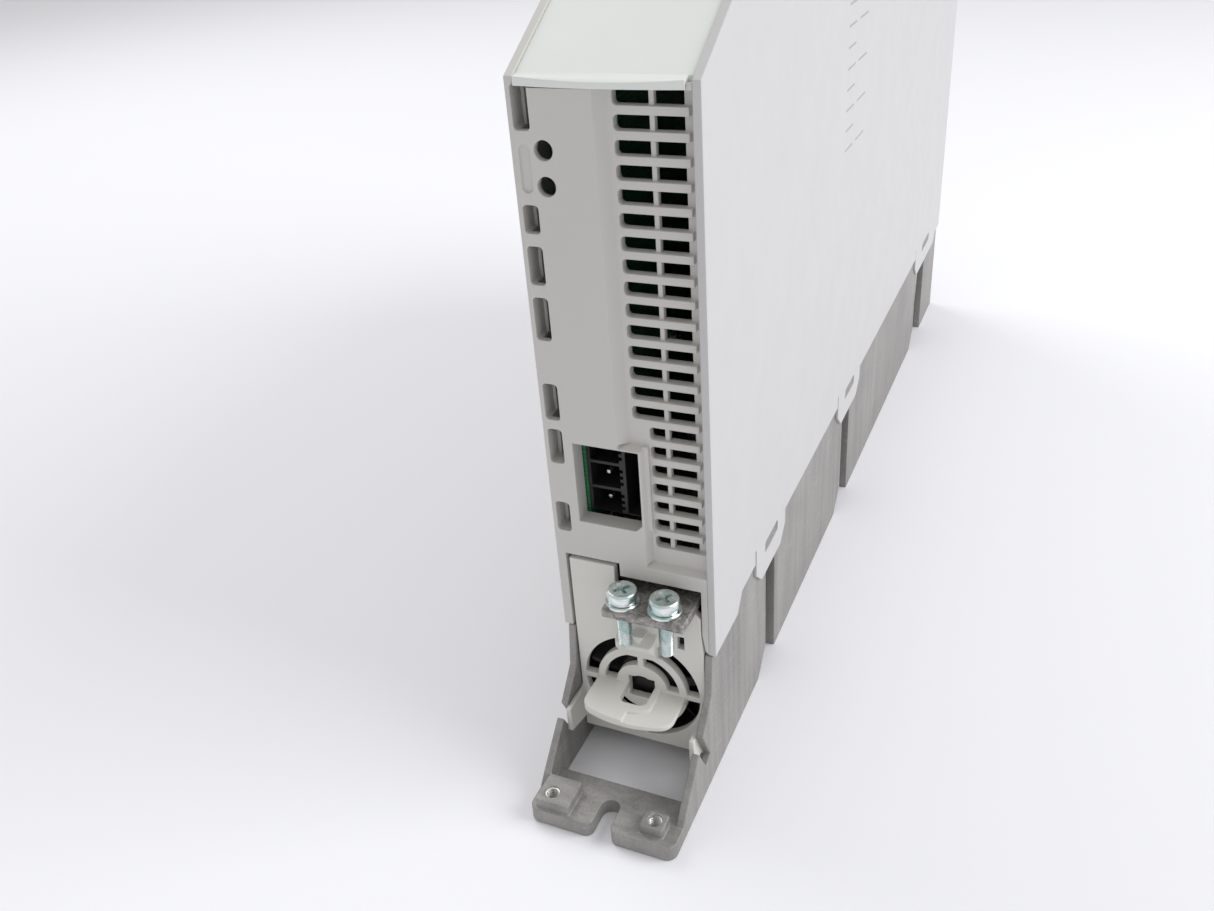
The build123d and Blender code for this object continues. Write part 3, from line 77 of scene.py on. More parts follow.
# ================================================================ node graphs
class Field:
    """A socket that takes part in sums: each operator adds its Math node."""

    def __init__(self, graph, socket):
        self.graph = graph
        self.socket = socket

    def math(self, operation, *values):
        settings = {"operation": operation}
        return self.graph.node("ShaderNodeMath", settings, dict(enumerate(values)))

    def __add__(self, other):
        return self.math("ADD", self, other)

    def __radd__(self, other):
        return self.math("ADD", other, self)

    def __sub__(self, other):
        return self.math("SUBTRACT", self, other)

    def __rsub__(self, other):
        return self.math("SUBTRACT", other, self)

    def __mul__(self, other):
        return self.math("MULTIPLY", self, other)

    def __rmul__(self, other):
        return self.math("MULTIPLY", other, self)

    def __truediv__(self, other):
        return self.math("DIVIDE", self, other)

    def __rtruediv__(self, other):
        return self.math("DIVIDE", other, self)

    def __gt__(self, other):
        return self.math("GREATER_THAN", self, other)

    def __lt__(self, other):
        return self.math("LESS_THAN", self, other)

    def sine(self):
        return self.math("SINE", self)

    def cosine(self):
        return self.math("COSINE", self)

    def size(self):
        return self.math("ABSOLUTE", self)

    def fraction(self):
        return self.math("FRACT", self)

    def within(self, low, high):
        """1 between two values and 0 outside."""
        return (self > low) * (self < high)

    def ramp(self, low, high):
        """0 below low, 1 above high, and smooth between."""
        settings = {"interpolation_type": "SMOOTHSTEP"}
        values = {"Value": self, "From Min": low, "From Max": high}
        return self.graph.node("ShaderNodeMapRange", settings, values)


class Graph:
    """A node tree that grows by expressions."""

    def __init__(self, tree):
        self.tree = tree

    def node(self, kind, settings=None, values=None, output=0):
        """Any node: its type, its settings, and the values or links of its sockets."""
        made = self.tree.nodes.new(kind)
        for key, value in (settings or {}).items():
            setattr(made, key, value)
        for key, value in (values or {}).items():
            if isinstance(value, Field):
                self.tree.links.new(value.socket, made.inputs[key])
            else:
                made.inputs[key].default_value = value
        return Field(self, made.outputs[output])

    def vector(self, across, along, up):
        """Vector of three values."""
        return self.node("ShaderNodeCombineXYZ", {}, {0: across, 1: along, 2: up})

    def parts(self, vector):
        """The three values of a vector."""
        return [self.node("ShaderNodeSeparateXYZ", {}, {0: vector}, index) for index in range(3)]


class Finish(Graph):
    """A material under construction: one principled shader and the nodes that feed it."""

    def __init__(self, name, colour, **fixed):
        self.material = bpy.data.materials.new(name)
        self.material.use_nodes = True
        self.material.diffuse_color = (*colour, 1.0)
        super().__init__(self.material.node_tree)
        self.shader = self.tree.nodes["Principled BSDF"]
        self.shader.inputs["Base Color"].default_value = (*colour, 1.0)
        for socket, value in fixed.items():
            self.shader.inputs[socket.replace("_", " ")].default_value = value
        self.place = self.node("ShaderNodeTexCoord", output="Object")

    def spread(self, stretch):
        """Place on the object, in metres, stretched along the axes."""
        if stretch is None:
            return self.place
        return self.node("ShaderNodeMapping", {}, {"Vector": self.place, "Scale": stretch})

    def noise(self, scale, detail=3.0, stretch=None, distortion=0.0):
        """Noise between 0 and 1, this many waves to the metre."""
        values = {
            "Vector": self.spread(stretch), "Scale": scale,
            "Detail": detail, "Distortion": distortion,
        }
        return self.node("ShaderNodeTexNoise", {}, values)

    def cells(self, scale, feature="F1", stretch=None):
        """Distance field of scattered cells, this many to the metre."""
        values = {"Vector": self.spread(stretch), "Scale": scale}
        return self.node("ShaderNodeTexVoronoi", {"feature": feature}, values, "Distance")

    def blend(self, factor, first, second):
        """Colour between two colours."""
        values = {0: factor, 6: first, 7: second}
        return self.node("ShaderNodeMix", {"data_type": "RGBA"}, values, 2)

    def feed(self, socket, field):
        """Lead a field into the shader."""
        self.tree.links.new(field.socket, self.shader.inputs[socket])

    def relief(self, height, depth, strength=1.0):
        """Surface relief from a height between 0 and 1, this deep in metres."""
        values = {"Height": height, "Distance": depth, "Strength": strength}
        self.feed("Normal", self.node("ShaderNodeBump", {}, values))


class Pattern(Graph):
    """A Geometry Nodes tree that ends in realised instances with one material."""

    def __init__(self, name):
        super().__init__(bpy.data.node_groups.new(name, "GeometryNodeTree"))
        self.name = name
        for way in ("INPUT", "OUTPUT"):
            self.tree.interface.new_socket("Geometry", in_out=way, socket_type="NodeSocketGeometry")
        self.entry = self.tree.nodes.new("NodeGroupInput")
        self.settings = {}

    def given(self, name, value):
        """Named input of the tree: a length, an angle or a count."""
        kind = "NodeSocketInt" if isinstance(value, int) else "NodeSocketFloat"
        socket = self.tree.interface.new_socket(name, in_out="INPUT", socket_type=kind)
        self.settings[socket.identifier] = value
        return Field(self, self.entry.outputs[name])

    def turned_copies(self, shape, count):
        """Copies of a shape, evenly turned about Z."""
        settings = {"mode": "OFFSET"}
        line = self.node("GeometryNodeMeshLine", settings, {"Count": count, "Offset": (0, 0, 0)})
        angle = self.node("GeometryNodeInputIndex") * tau / count
        turn = self.node("FunctionNodeEulerToRotation", {}, {0: self.vector(0.0, 0.0, angle)})
        values = {"Points": line, "Instance": shape, "Rotation": turn}
        return self.node("GeometryNodeInstanceOnPoints", {}, values)

    def row(self, shape, count, step):
        """Copies of a shape in a row, from the origin on."""
        settings = {"mode": "OFFSET"}
        line = self.node("GeometryNodeMeshLine", settings, {"Count": count, "Offset": step})
        return self.node("GeometryNodeInstanceOnPoints", {}, {"Points": line, "Instance": shape})

    def build(self, geometry, material):
        """Plain mesh piece of the finished tree."""
        whole = self.node("GeometryNodeRealizeInstances", {}, {"Geometry": geometry})
        values = {"Geometry": whole, "Material": material}
        whole = self.node("GeometryNodeSetMaterial", {}, values)
        ending = self.tree.nodes.new("NodeGroupOutput")
        self.tree.links.new(whole.socket, ending.inputs["Geometry"])
        holder = link(bpy.data.objects.new(self.name, bpy.data.meshes.new(self.name)))
        modifier = holder.modifiers.new(self.name, "NODES")
        modifier.node_group = self.tree
        for identifier, value in self.settings.items():
            modifier[identifier] = value
        return flat_mesh(holder, self.name)


# ================================================================ finishes
def shade(colour, factor):
    """Opaque colour, made lighter or darker."""
    return (*(min(1.0, channel * factor) for channel in colour), 1.0)


def moulded(name, colour, roughness=0.52, grain=2600.0, depth=0.00003, **fixed):
    """Matt moulded plastic with spark grain, faint flow marks and handling smudges."""
    finish = Finish(name, colour, IOR=1.46, **fixed)
    cloud = finish.noise(35.0, 4.0)
    fine = finish.noise(grain, 2.0)
    smudge = finish.noise(90.0, 5.0, distortion=0.6)
    tone = cloud * 0.6 + fine * 0.4
    finish.feed("Base Color", finish.blend(tone, shade(colour, 0.96), shade(colour, 1.035)))
    finish.feed("Roughness", 0.08 * smudge.ramp(0.35, 0.7) + 0.04 * fine + (roughness - 0.05))
    finish.relief(fine, depth, 0.5)
    return finish


def plastic(name, colour):
    """Plain matt plastic."""
    return moulded(name, colour).material


def printed_plastic(name, colour):
    """Side plastic with a short column of grey printed ticks on its outer face."""
    finish = moulded(name, colour)
    x, y, z = finish.parts(finish.place)
    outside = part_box("side_cover")[1].x - 0.1 * MM
    rows = ((z / 0.0062).fraction() < 0.11) * z.within(0.142, 0.2)
    length = y.within(-0.036, -0.026) + y.within(-0.022, -0.010) * (((z / 0.0124).fraction()) > 0.5)
    ink = rows * length * (x > outside)
    base = finish.shader.inputs["Base Color"].links[0].from_socket
    finish.feed("Base Color", finish.blend(ink * 0.65, Field(finish, base), shade(colour, 0.45)))
    return finish.material


def glass_filled(name, colour):
    """Dark glass filled plastic with pale fibre flecks and a slight gloss."""
    finish = Finish(name, colour, IOR=1.5)
    fleck = finish.cells(3200.0, stretch=(1.0, 0.25, 1.0)).ramp(0.12, 0.02)
    cloud = finish.noise(60.0, 4.0)
    base = finish.blend(cloud, shade(colour, 0.8), shade(colour, 1.35))
    finish.feed("Base Color", finish.blend(fleck * 0.12, base, (0.3, 0.3, 0.3, 1.0)))
    finish.feed("Roughness", 0.36 + 0.2 * cloud)
    finish.relief(finish.noise(1800.0, 2.0), 0.00003, 0.4)
    return finish.material


def cast_metal(name, colour):
    """Bead blasted die casting with flow streaks and pits, whose darker colour is painted shade in
    the hollows.
    """
    finish = Finish(name, colour, Metallic=0.5)
    skin = finish.noise(1500.0, 4.0)
    streak = finish.noise(150.0, 4.0, stretch=(1.0, 2.2, 0.1))
    cloud = finish.noise(28.0, 5.0, distortion=0.8)
    pit_with_painted_shade = finish.cells(900.0).ramp(0.2, 0.08) * finish.noise(60.0, 2.0).ramp(0.56, 0.66)
    scuff = finish.noise(420.0, 3.0, stretch=(1.0, 0.15, 1.0)).ramp(0.62, 0.72)
    tone = skin * 0.25 + streak * 0.4 + cloud * 0.35
    base = finish.blend(tone.ramp(0.32, 0.68), shade(colour, 0.76), shade(colour, 1.2))
    worn = finish.blend(scuff * 0.3, base, shade(colour, 1.5))
    # painted shade: the pits are darkened in colour as if shaded inside them; the same mask dents
    # the relief
    finish.feed("Base Color", finish.blend(pit_with_painted_shade * 0.7, worn, shade(colour, 0.35)))
    finish.feed("Roughness", 0.42 + 0.22 * cloud + 0.1 * streak)
    finish.relief(skin * 0.6 + streak * 0.25 - 0.6 * pit_with_painted_shade, 0.00014, 0.7)
    return finish.material


def rough_bar(name, colour):
    """Sheared bar with a coarse dull plating, scratches and dark stains."""
    finish = Finish(name, colour, Metallic=0.75)
    coarse = finish.noise(700.0, 6.0, distortion=1.0)
    scratch = finish.noise(900.0, 3.0, stretch=(0.12, 1.0, 1.0)).ramp(0.55, 0.7)
    stain = finish.noise(130.0, 5.0).ramp(0.45, 0.65)
    base = finish.blend(coarse.ramp(0.3, 0.7), shade(colour, 0.55), shade(colour, 1.35))
    finish.feed("Base Color", finish.blend(stain * 0.5, base, shade(colour, 0.4)))
    finish.feed("Roughness", 0.4 + 0.25 * coarse + 0.1 * scratch)
    finish.relief(coarse - 0.3 * scratch, 0.00022, 0.9)
    return finish.material


def plated(name, colour):
    """Bright zinc plating with a faint blue green cast and fine scratches."""
    finish = Finish(name, colour, Metallic=1.0)
    cloud = finish.noise(450.0, 4.0, distortion=0.7)
    scratch = finish.noise(2200.0, 3.0, stretch=(1.0, 1.0, 0.15))
    tint = (colour[0] * 0.72, colour[1] * 0.93, colour[2] * 0.93, 1.0)
    base = finish.blend(cloud.ramp(0.35, 0.7), shade(colour, 1.12), tint)
    finish.feed("Base Color", base)
    finish.feed("Roughness", 0.17 + 0.16 * cloud + 0.08 * scratch)
    finish.relief(scratch * 0.5 + cloud * 0.5, 0.00003, 0.5)
    return finish.material


def brushed(name, colour):
    """Drawn or ground metal with fine lines along its length."""
    finish = Finish(name, colour, Metallic=1.0)
    line = finish.noise(2400.0, 3.0, stretch=(1.0, 1.0, 0.06))
    cloud = finish.noise(200.0, 3.0)
    finish.feed("Base Color", finish.blend(line, shade(colour, 0.85), shade(colour, 1.12)))
    finish.feed("Roughness", 0.22 + 0.18 * line + 0.1 * cloud)
    finish.relief(line, 0.00002, 0.5)
    return finish.material


def sintered(name, colour):
    """Sintered bronze: open pores in a dull metal, painted darker as shade in them."""
    finish = Finish(name, colour, Metallic=0.9)
    pore_with_painted_shade = finish.cells(4200.0).ramp(0.3, 0.1)
    # painted shade: the pores are darkened in colour as if shaded inside them; the same mask sinks
    # the relief
    finish.feed("Base Color", finish.blend(pore_with_painted_shade, shade(colour, 1.1), shade(colour, 0.4)))
    finish.feed("Roughness", 0.38 + 0.3 * pore_with_painted_shade)
    finish.relief(1.0 - pore_with_painted_shade, 0.00005, 0.8)
    return finish.material


def enamelled(name, colour):
    """Wound copper wire, turn beside turn, under clear enamel, with a painted highlight on each
    turn and painted shade between turns.
    """
    finish = Finish(name, colour, Metallic=0.8, Coat_Weight=0.5)
    x, y, z = finish.parts(finish.place)
    turn = (y * (tau / 0.0004)).sine() * 0.5 + 0.5
    # painted light: each turn is lighter on its crest and darker between turns, as if lit; the same
    # wave makes the relief
    finish.feed("Base Color", finish.blend(turn, shade(colour, 0.45), shade(colour, 1.25)))
    finish.feed("Roughness", 0.3 + 0.1 * finish.noise(300.0))
    finish.relief(turn, 0.0001, 0.8)
    return finish.material


def solder_resist(name, colour):
    """Board laminate under green resist, with paler copper tracks and vias."""
    finish = Finish(name, colour, Coat_Weight=0.25)
    x, y, z = finish.parts(finish.place)
    lane = ((y / 0.0011).fraction() - 0.5).size().ramp(0.34, 0.3)
    run = ((z / 0.0013).fraction() - 0.5).size().ramp(0.34, 0.3)
    patch = finish.cells(70.0).ramp(0.45, 0.5)
    track = lane * patch + run * (1.0 - patch)
    via = finish.cells(420.0).ramp(0.13, 0.1)
    base = finish.blend(track * 0.5, shade(colour, 0.85), shade(colour, 1.9))
    finish.feed("Base Color", finish.blend(via, base, (0.45, 0.4, 0.25, 1.0)))
    finish.feed("Metallic", via * 0.8)
    finish.feed("Roughness", 0.3 + 0.12 * finish.noise(500.0))
    finish.relief(track * 0.6 + via * 0.4, 0.00004, 0.7)
    return finish.material


def soft_sheet(name, colour):
    """Soft filled sheet with pressed dimples, painted darker in their hollows as shade."""
    finish = Finish(name, colour, Sheen_Weight=0.1)
    dimple_with_painted_shade = finish.cells(700.0).ramp(0.2, 0.5)
    # painted shade: the dimples are darker at their sunk centres and lighter at their rims; the
    # same field makes the relief
    finish.feed("Base Color", finish.blend(dimple_with_painted_shade, shade(colour, 0.9), shade(colour, 1.1)))
    finish.feed("Roughness", 0.75 + 0.1 * finish.noise(200.0))
    finish.relief(dimple_with_painted_shade, 0.00006, 0.6)
    return finish.material


def sleeve(name, colour):
    """Shrink sleeve of a capacitor: glossy, wrinkled, with one pale stripe; the wrinkles carry a
    painted highlight on their crests and painted shade in their hollows.
    """
    finish = Finish(name, colour, Coat_Weight=0.4)
    x, y, z = finish.parts(finish.place)
    stripe = x.within(-0.0015, 0.0035)
    wrinkle_with_painted_light = finish.noise(160.0, 4.0, stretch=(1.0, 1.0, 0.3))
    # painted light: wrinkle crests are lighter and their hollows darker, as if lit; the same noise
    # makes the relief
    base = finish.blend(wrinkle_with_painted_light, shade(colour, 0.8), shade(colour, 1.4))
    finish.feed("Base Color", finish.blend(stripe * 0.7, base, (0.5, 0.52, 0.55, 1.0)))
    finish.feed("Roughness", 0.22 + 0.2 * wrinkle_with_painted_light)
    finish.relief(wrinkle_with_painted_light, 0.0001, 0.4)
    return finish.material


def smoked(name, colour):
    """Smoked clear window with light handling haze."""
    finish = Finish(name, colour, Transmission_Weight=0.85, IOR=1.49)
    haze = finish.noise(220.0, 4.0, distortion=0.5)
    finish.feed("Base Color", finish.blend(haze, shade(colour, 0.9), shade(colour, 1.2)))
    finish.feed("Roughness", 0.06 + 0.12 * haze.ramp(0.45, 0.75))
    finish.relief(haze, 0.00001, 0.3)
    return finish.material


def lit_sign(name, colour):
    """Lit segment with a mottled glow."""
    finish = Finish(name, colour, Emission_Strength=1.2)
    glow = finish.noise(900.0, 2.0)
    finish.feed("Emission Color", finish.blend(glow, shade(colour, 0.7), shade(colour, 1.2)))
    finish.feed("Roughness", 0.3 + 0.1 * glow)
    return finish.material


MAKERS = {
    "casting": cast_metal, "side_plastic": printed_plastic, "panel_plastic": plastic,
    "front_plastic": plastic, "carrier_plastic": plastic, "fan_plastic": glass_filled,
    "bronze": sintered, "winding": enamelled, "steel": brushed, "bar_metal": rough_bar,
    "zinc": plated, "board": solder_resist, "thermal": soft_sheet,
    "module_plastic": glass_filled, "tin": brushed, "capacitor": sleeve,
    "relay_plastic": plastic, "ferrite": glass_filled, "header_plastic": glass_filled,
    "header_green": plastic, "port_shell": brushed, "lens": smoked,
}
FIXED_COLOURS = {
    "fan_plastic": (0.012, 0.012, 0.013), "bronze": (0.55, 0.38, 0.2),
    "winding": (0.6, 0.28, 0.1), "steel": (0.6, 0.6, 0.6), "thermal": (0.42, 0.42, 0.48),
    "module_plastic": (0.03, 0.03, 0.032), "tin": (0.72, 0.71, 0.68),
    "capacitor": (0.02, 0.03, 0.05), "relay_plastic": (0.7, 0.69, 0.64),
    "ferrite": (0.05, 0.05, 0.05), "header_plastic": (0.015, 0.015, 0.016),
    "port_shell": (0.55, 0.55, 0.55), "lens": (0.05, 0.05, 0.06),
}
finishes = {}


def finish_of(slot):
    """The one material of a slot, made when it is first asked for."""
    if slot not in finishes:
        colours = bpy.context.scene.drive_colours
        colour = FIXED_COLOURS.get(slot) or tuple(getattr(colours, slot))
        finishes[slot] = MAKERS[slot](slot, colour)
    return finishes[slot]


# ================================================================ meshes
def link(obj):
    """Put an object into the scene."""
    bpy.context.scene.collection.objects.link(obj)
    return obj


def flat_mesh(obj, name):
    """Plain mesh of an object with its modifiers applied, in a new object at the origin."""
    graph = bpy.context.evaluated_depsgraph_get()
    mesh = bpy.data.meshes.new_from_object(obj.evaluated_get(graph), depsgraph=graph)
    mesh.name = name
    bpy.data.objects.remove(obj)
    return link(bpy.data.objects.new(name, mesh))


def softened(node, radius):
    """Piece that stands for a CAD node, with its outer edges slightly rounded."""
    mesh = frame["nodes"][node].data.copy()
    shell = bmesh.new()
    shell.from_mesh(mesh)
    bmesh.ops.remove_doubles(shell, verts=shell.verts, dist=0.002 * MM)
    shell.to_mesh(mesh)
    shell.free()
    mesh.materials.clear()
    mesh.materials.append(finish_of(slot_of[node]))
    mesh.shade_smooth()
    raw = link(bpy.data.objects.new(node + "_raw", mesh))
    bevel = raw.modifiers.new("edges", "BEVEL")
    bevel.width = radius
    bevel.segments = 2
    bevel.limit_method = "ANGLE"
    bevel.angle_limit = radians(28.0)
    bevel.use_clamp_overlap = False
    bevel.loop_slide = False
    normals = raw.modifiers.new("normals", "WEIGHTED_NORMAL")
    normals.keep_sharp = True
    normals.weight = 80
    return settled(flat_mesh(raw, node + "_skin"), body_of(node), slot_of[node], node)


def body_of(node):
    """Name of the body that a CAD node rides on."""
    return frame["nodes"][node]["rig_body"]


def settled(piece, body, slot, *replaced):
    """A finished piece: its body and the CAD nodes that it stands for; its slot is not used."""
    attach(piece, body)
    if replaced:
        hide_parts(*replaced)
    return piece


def dressed(*nodes):
    """CAD nodes that keep their shape and get the finish of their slot."""
    for node in nodes:
        materials = frame["nodes"][node].data.materials
        materials.clear()
        materials.append(finish_of(slot_of[node]))


def turned(profile, sides=48, shape=None, place=(0.0, 0.0)):
    """Body of revolution about a vertical line: rings of radius and height, joined in order."""
    shape = shape or bmesh.new()
    rings = []
    for radius, height in profile:
        steps = sides if radius > 0 else 1
        rings.append([
            shape.verts.new((
                place[0] + radius * cos(tau * step / sides),
                place[1] + radius * sin(tau * step / sides),
                height,
            ))
            for step in range(steps)
        ])
    pairs = list(zip(rings, rings[1:]))
    if len(rings[0]) > 1:
        pairs.append((rings[-1], rings[0]))
    for first, second in pairs:
        for step in range(sides):
            after = (step + 1) % sides
            corners = (
                first[step % len(first)], first[after % len(first)],
                second[after % len(second)], second[step % len(second)],
            )
            corners = list(dict.fromkeys(corners))
            if len(corners) > 2:
                shape.faces.new(corners)
    bmesh.ops.recalc_face_normals(shape, faces=shape.faces)
    return shape


def block(shape, low, high, chamfer):
    """Box with chamfered edges, added to a shape."""
    middle = [(a + b) / 2 for a, b in zip(low, high)]
    scale = [b - a for a, b in zip(low, high)]
    matrix = Matrix.Translation(middle) @ Matrix.Diagonal((*scale, 1.0))
    made = bmesh.ops.create_cube(shape, size=1.0, matrix=matrix)
    edges = {edge for vert in made["verts"] for edge in vert.link_edges}
    bmesh.ops.bevel(shape, geom=list(edges), offset=chamfer, segments=1, affect="EDGES")
    return shape


def piece_from(shape, name, slot, smooth=40.0):
    """Object of a shape, smooth but for its sharp edges."""
    mesh = bpy.data.meshes.new(name)
    shape.to_mesh(mesh)
    shape.free()
    mesh.materials.append(finish_of(slot))
    mesh.shade_smooth()
    mesh.set_sharp_from_angle(angle=radians(smooth))
    return link(bpy.data.objects.new(name, mesh))


def moved(piece, matrix, smooth=40.0):
    """The piece with its mesh taken to its place."""
    piece.data.transform(matrix)
    piece.data.shade_smooth()
    piece.data.set_sharp_from_angle(angle=radians(smooth))
    return piece


def carved(piece, cutter, name):
    """The piece with a second shape cut out of it."""
    cut = piece.modifiers.new("cut", "BOOLEAN")
    cut.operation = "DIFFERENCE"
    cut.solver = "EXACT"
    cut.object = cutter
    made = flat_mesh(piece, name)
    bpy.data.objects.remove(cutter)
    return made


# ================================================================ threads
def thread_surface(pattern, radius, pitch, depth, length, chamfer):
    """Rod along Z, centred, whose surface follows a right hand screw line."""
    sides, rings = 36, 10
    reach = pattern.given("Radius", radius)
    lead = pattern.given("Pitch", pitch)
    groove = pattern.given("Depth", depth)
    long = pattern.given("Length", length)
    values = {
        "Vertices": sides, "Side Segments": int(length / pitch * rings),
        "Radius": 1.0, "Depth": long,
    }
    rod = pattern.node("GeometryNodeMeshCylinder", {"fill_type": "NGON"}, values, "Mesh")
    x, y, z = pattern.parts(pattern.node("GeometryNodeInputPosition"))
    turn = y.math("ARCTAN2", y, x)
    flank = ((z / lead - turn / tau).fraction() - 0.5).size() * 2.0
    tip = (z + long / 2.0).math("LESS_THAN", z + long / 2.0, chamfer)
    taper = tip * (1.0 - (z + long / 2.0) / chamfer)
    out = reach - groove * flank.ramp(0.1, 0.85) - groove * taper
    values = {"Geometry": rod, "Position": pattern.vector(x * out, y * out, z)}
    return pattern.node("GeometryNodeSetPosition", {}, values)


def screw_tail(name, radius, pitch, depth, length):
    """Threaded shank of a screw, with a chamfered end."""
    pattern = Pattern(name)
    rod = thread_surface(pattern, radius, pitch, depth, length, 0.8 * MM)
    return pattern.build(rod, finish_of("zinc"))


def tapped_sleeve(name, radius, pitch, depth, length):
    """Lining of a tapped hole, with the thread cut into its bore."""
    pattern = Pattern(name)
    rod = thread_surface(pattern, radius, pitch, depth, length + 2.0 * MM, 0.01 * MM)
    values = {"Vertices": 36, "Side Segments": 4, "Radius": radius + 0.12 * MM, "Depth": length}
    core = pattern.node("GeometryNodeMeshCylinder", {"fill_type": "NGON"}, values, "Mesh")
    settings = {"operation": "DIFFERENCE", "solver": "EXACT"}
    hollow = pattern.node("GeometryNodeMeshBoolean", settings, {"Mesh 1": core, "Mesh 2": rod})
    return pattern.build(hollow, finish_of("tin"))


def pan_head(name, radius, height, cross):
    """Pan head with a rounded crown and a tapered cross recess."""
    crown = [
        (radius - 0.9 * MM + 0.9 * MM * sin(step * pi / 12), height - 0.9 * MM
         + 0.9 * MM * cos(step * pi / 12)) for step in range(7)
    ]
    profile = [(0.0, height), *crown, (radius, 0.25 * MM), (radius - 0.2 * MM, 0.0), (0.0, 0.0)]
    head = piece_from(turned(profile, 64), name + "_raw", "zinc")
    cutter = bmesh.new()
    rings = []
    for reach, wide, z in (
        (cross / 2, 0.62 * MM, height + 0.3 * MM), (cross / 3.2, 0.32 * MM, height - 1.9 * MM),
    ):
        ring = []
        for quarter in range(4):
            turn = pi / 4 + quarter * pi / 2
            for x, y in ((reach, -wide), (reach, wide), (wide, wide)):
                place = (x * cos(turn) - y * sin(turn), x * sin(turn) + y * cos(turn), z)
                ring.append(cutter.verts.new(place))
        rings.append(ring)
    for first, second in zip(range(12), (*range(1, 12), 0)):
        cutter.faces.new((rings[1][first], rings[1][second], rings[0][second], rings[0][first]))
    cutter.faces.new(rings[0])
    cutter.faces.new(list(reversed(rings[1])))
    bmesh.ops.recalc_face_normals(cutter, faces=cutter.faces)
    slit = piece_from(cutter, name + "_cutter", "zinc")
    return moved(carved(head, slit, name), Matrix.Identity(4), 30.0)


def split_ring(name, inner, outer, thickness, rise):
    """Spring washer: one turn of square wire with its ends offset."""
    shape = bmesh.new()
    steps, gap = 60, radians(12)
    rings = []
    for step in range(steps + 1):
        angle = gap / 2 + (tau - gap) * step / steps
        lift = rise * step / steps
        rings.append([
            shape.verts.new((radius * cos(angle), radius * sin(angle), height + lift))
            for radius, height in (
                (inner, 0.0), (outer, 0.0), (outer, thickness), (inner, thickness)
            )
        ])
    for first, second in zip(rings, rings[1:]):
        for side in range(4):
            after = (side + 1) % 4
            shape.faces.new((first[side], first[after], second[after], second[side]))
    shape.faces.new(rings[0])
    shape.faces.new(rings[-1])
    bmesh.ops.recalc_face_normals(shape, faces=shape.faces)
    return piece_from(shape, name, "zinc")


def joined(name, *pieces):
    """One object with the meshes of several, which go away."""
    shape = bmesh.new()
    for piece in pieces:
        shape.from_mesh(piece.data)
    mesh = bpy.data.meshes.new(name)
    shape.to_mesh(mesh)
    shape.free()
    mesh.materials.append(pieces[0].data.materials[0])
    mesh.shade_smooth()
    mesh.set_sharp_from_angle(angle=radians(32.0))
    for piece in pieces:
        bpy.data.objects.remove(piece)
    return link(bpy.data.objects.new(name, mesh))


# ================================================================ sizes and colours
def length(name, description, default):
    """Property for a length."""
    return FloatProperty(name=name, description=description, default=default, unit="LENGTH",
                         min=0.0, precision=5)


def colour(name, description, default):
    """Property for a colour."""
    return FloatVectorProperty(name=name, description=description, default=default,
                               subtype="COLOR", size=3, min=0.0, max=1.0)


class DriveSizes(bpy.types.PropertyGroup):
    """Sizes that the looks add to the frame"""

    shell_edge: length("Shell edge", "Rounding of the plastic shells' edges", 0.2 * MM)
    casting_edge: length("Casting edge", "Rounding of the casting's edges", 0.32 * MM)
    thread_pitch: length("Thread pitch", "Rise of the earth screws in one turn", 0.7 * MM)
    thread_depth: length("Thread depth", "Depth of the screw threads", 0.42 * MM)
    cross_span: length("Cross span", "Width of the screws' cross recess", 5.2 * MM)
    wire: length("Choke wire", "Thickness of the choke's wire", 1.1 * MM)
    blade_count: IntProperty(
        name="Blades", description="Blades of the fan", default=7, min=3, max=15
    )
    blade_sweep: FloatProperty(
        name="Blade sweep", description="Turn of a blade from its front to its back edge",
        default=radians(42.0), subtype="ANGLE",
    )
    choke_turns: IntProperty(
        name="Choke turns", description="Turns of wire on the choke", default=26, min=6, max=60
    )


class DriveColours(bpy.types.PropertyGroup):
    """Colours of the finishes"""

    casting: colour("Casting", "Raw die casting", (0.33, 0.32, 0.31))
    side_plastic: colour("Side plastic", "Side cover", (0.56, 0.555, 0.56))
    panel_plastic: colour("Panel plastic", "Housing and its end panels", (0.60, 0.585, 0.56))
    front_plastic: colour("Front plastic", "Front cover", (0.76, 0.79, 0.765))
    carrier_plastic: colour("Carrier plastic", "Fan carrier", (0.70, 0.69, 0.65))
    bar_metal: colour("Bar metal", "Earth bar", (0.37, 0.35, 0.335))
    zinc: colour("Zinc", "Plated screws and washers", (0.74, 0.76, 0.75))
    board: colour("Board", "Solder resist of the boards", (0.02, 0.13, 0.05))
    header_green: colour("Header green", "Power plug headers", (0.03, 0.2, 0.08))
    floor: colour("Floor", "Studio floor", (0.90, 0.905, 0.95))


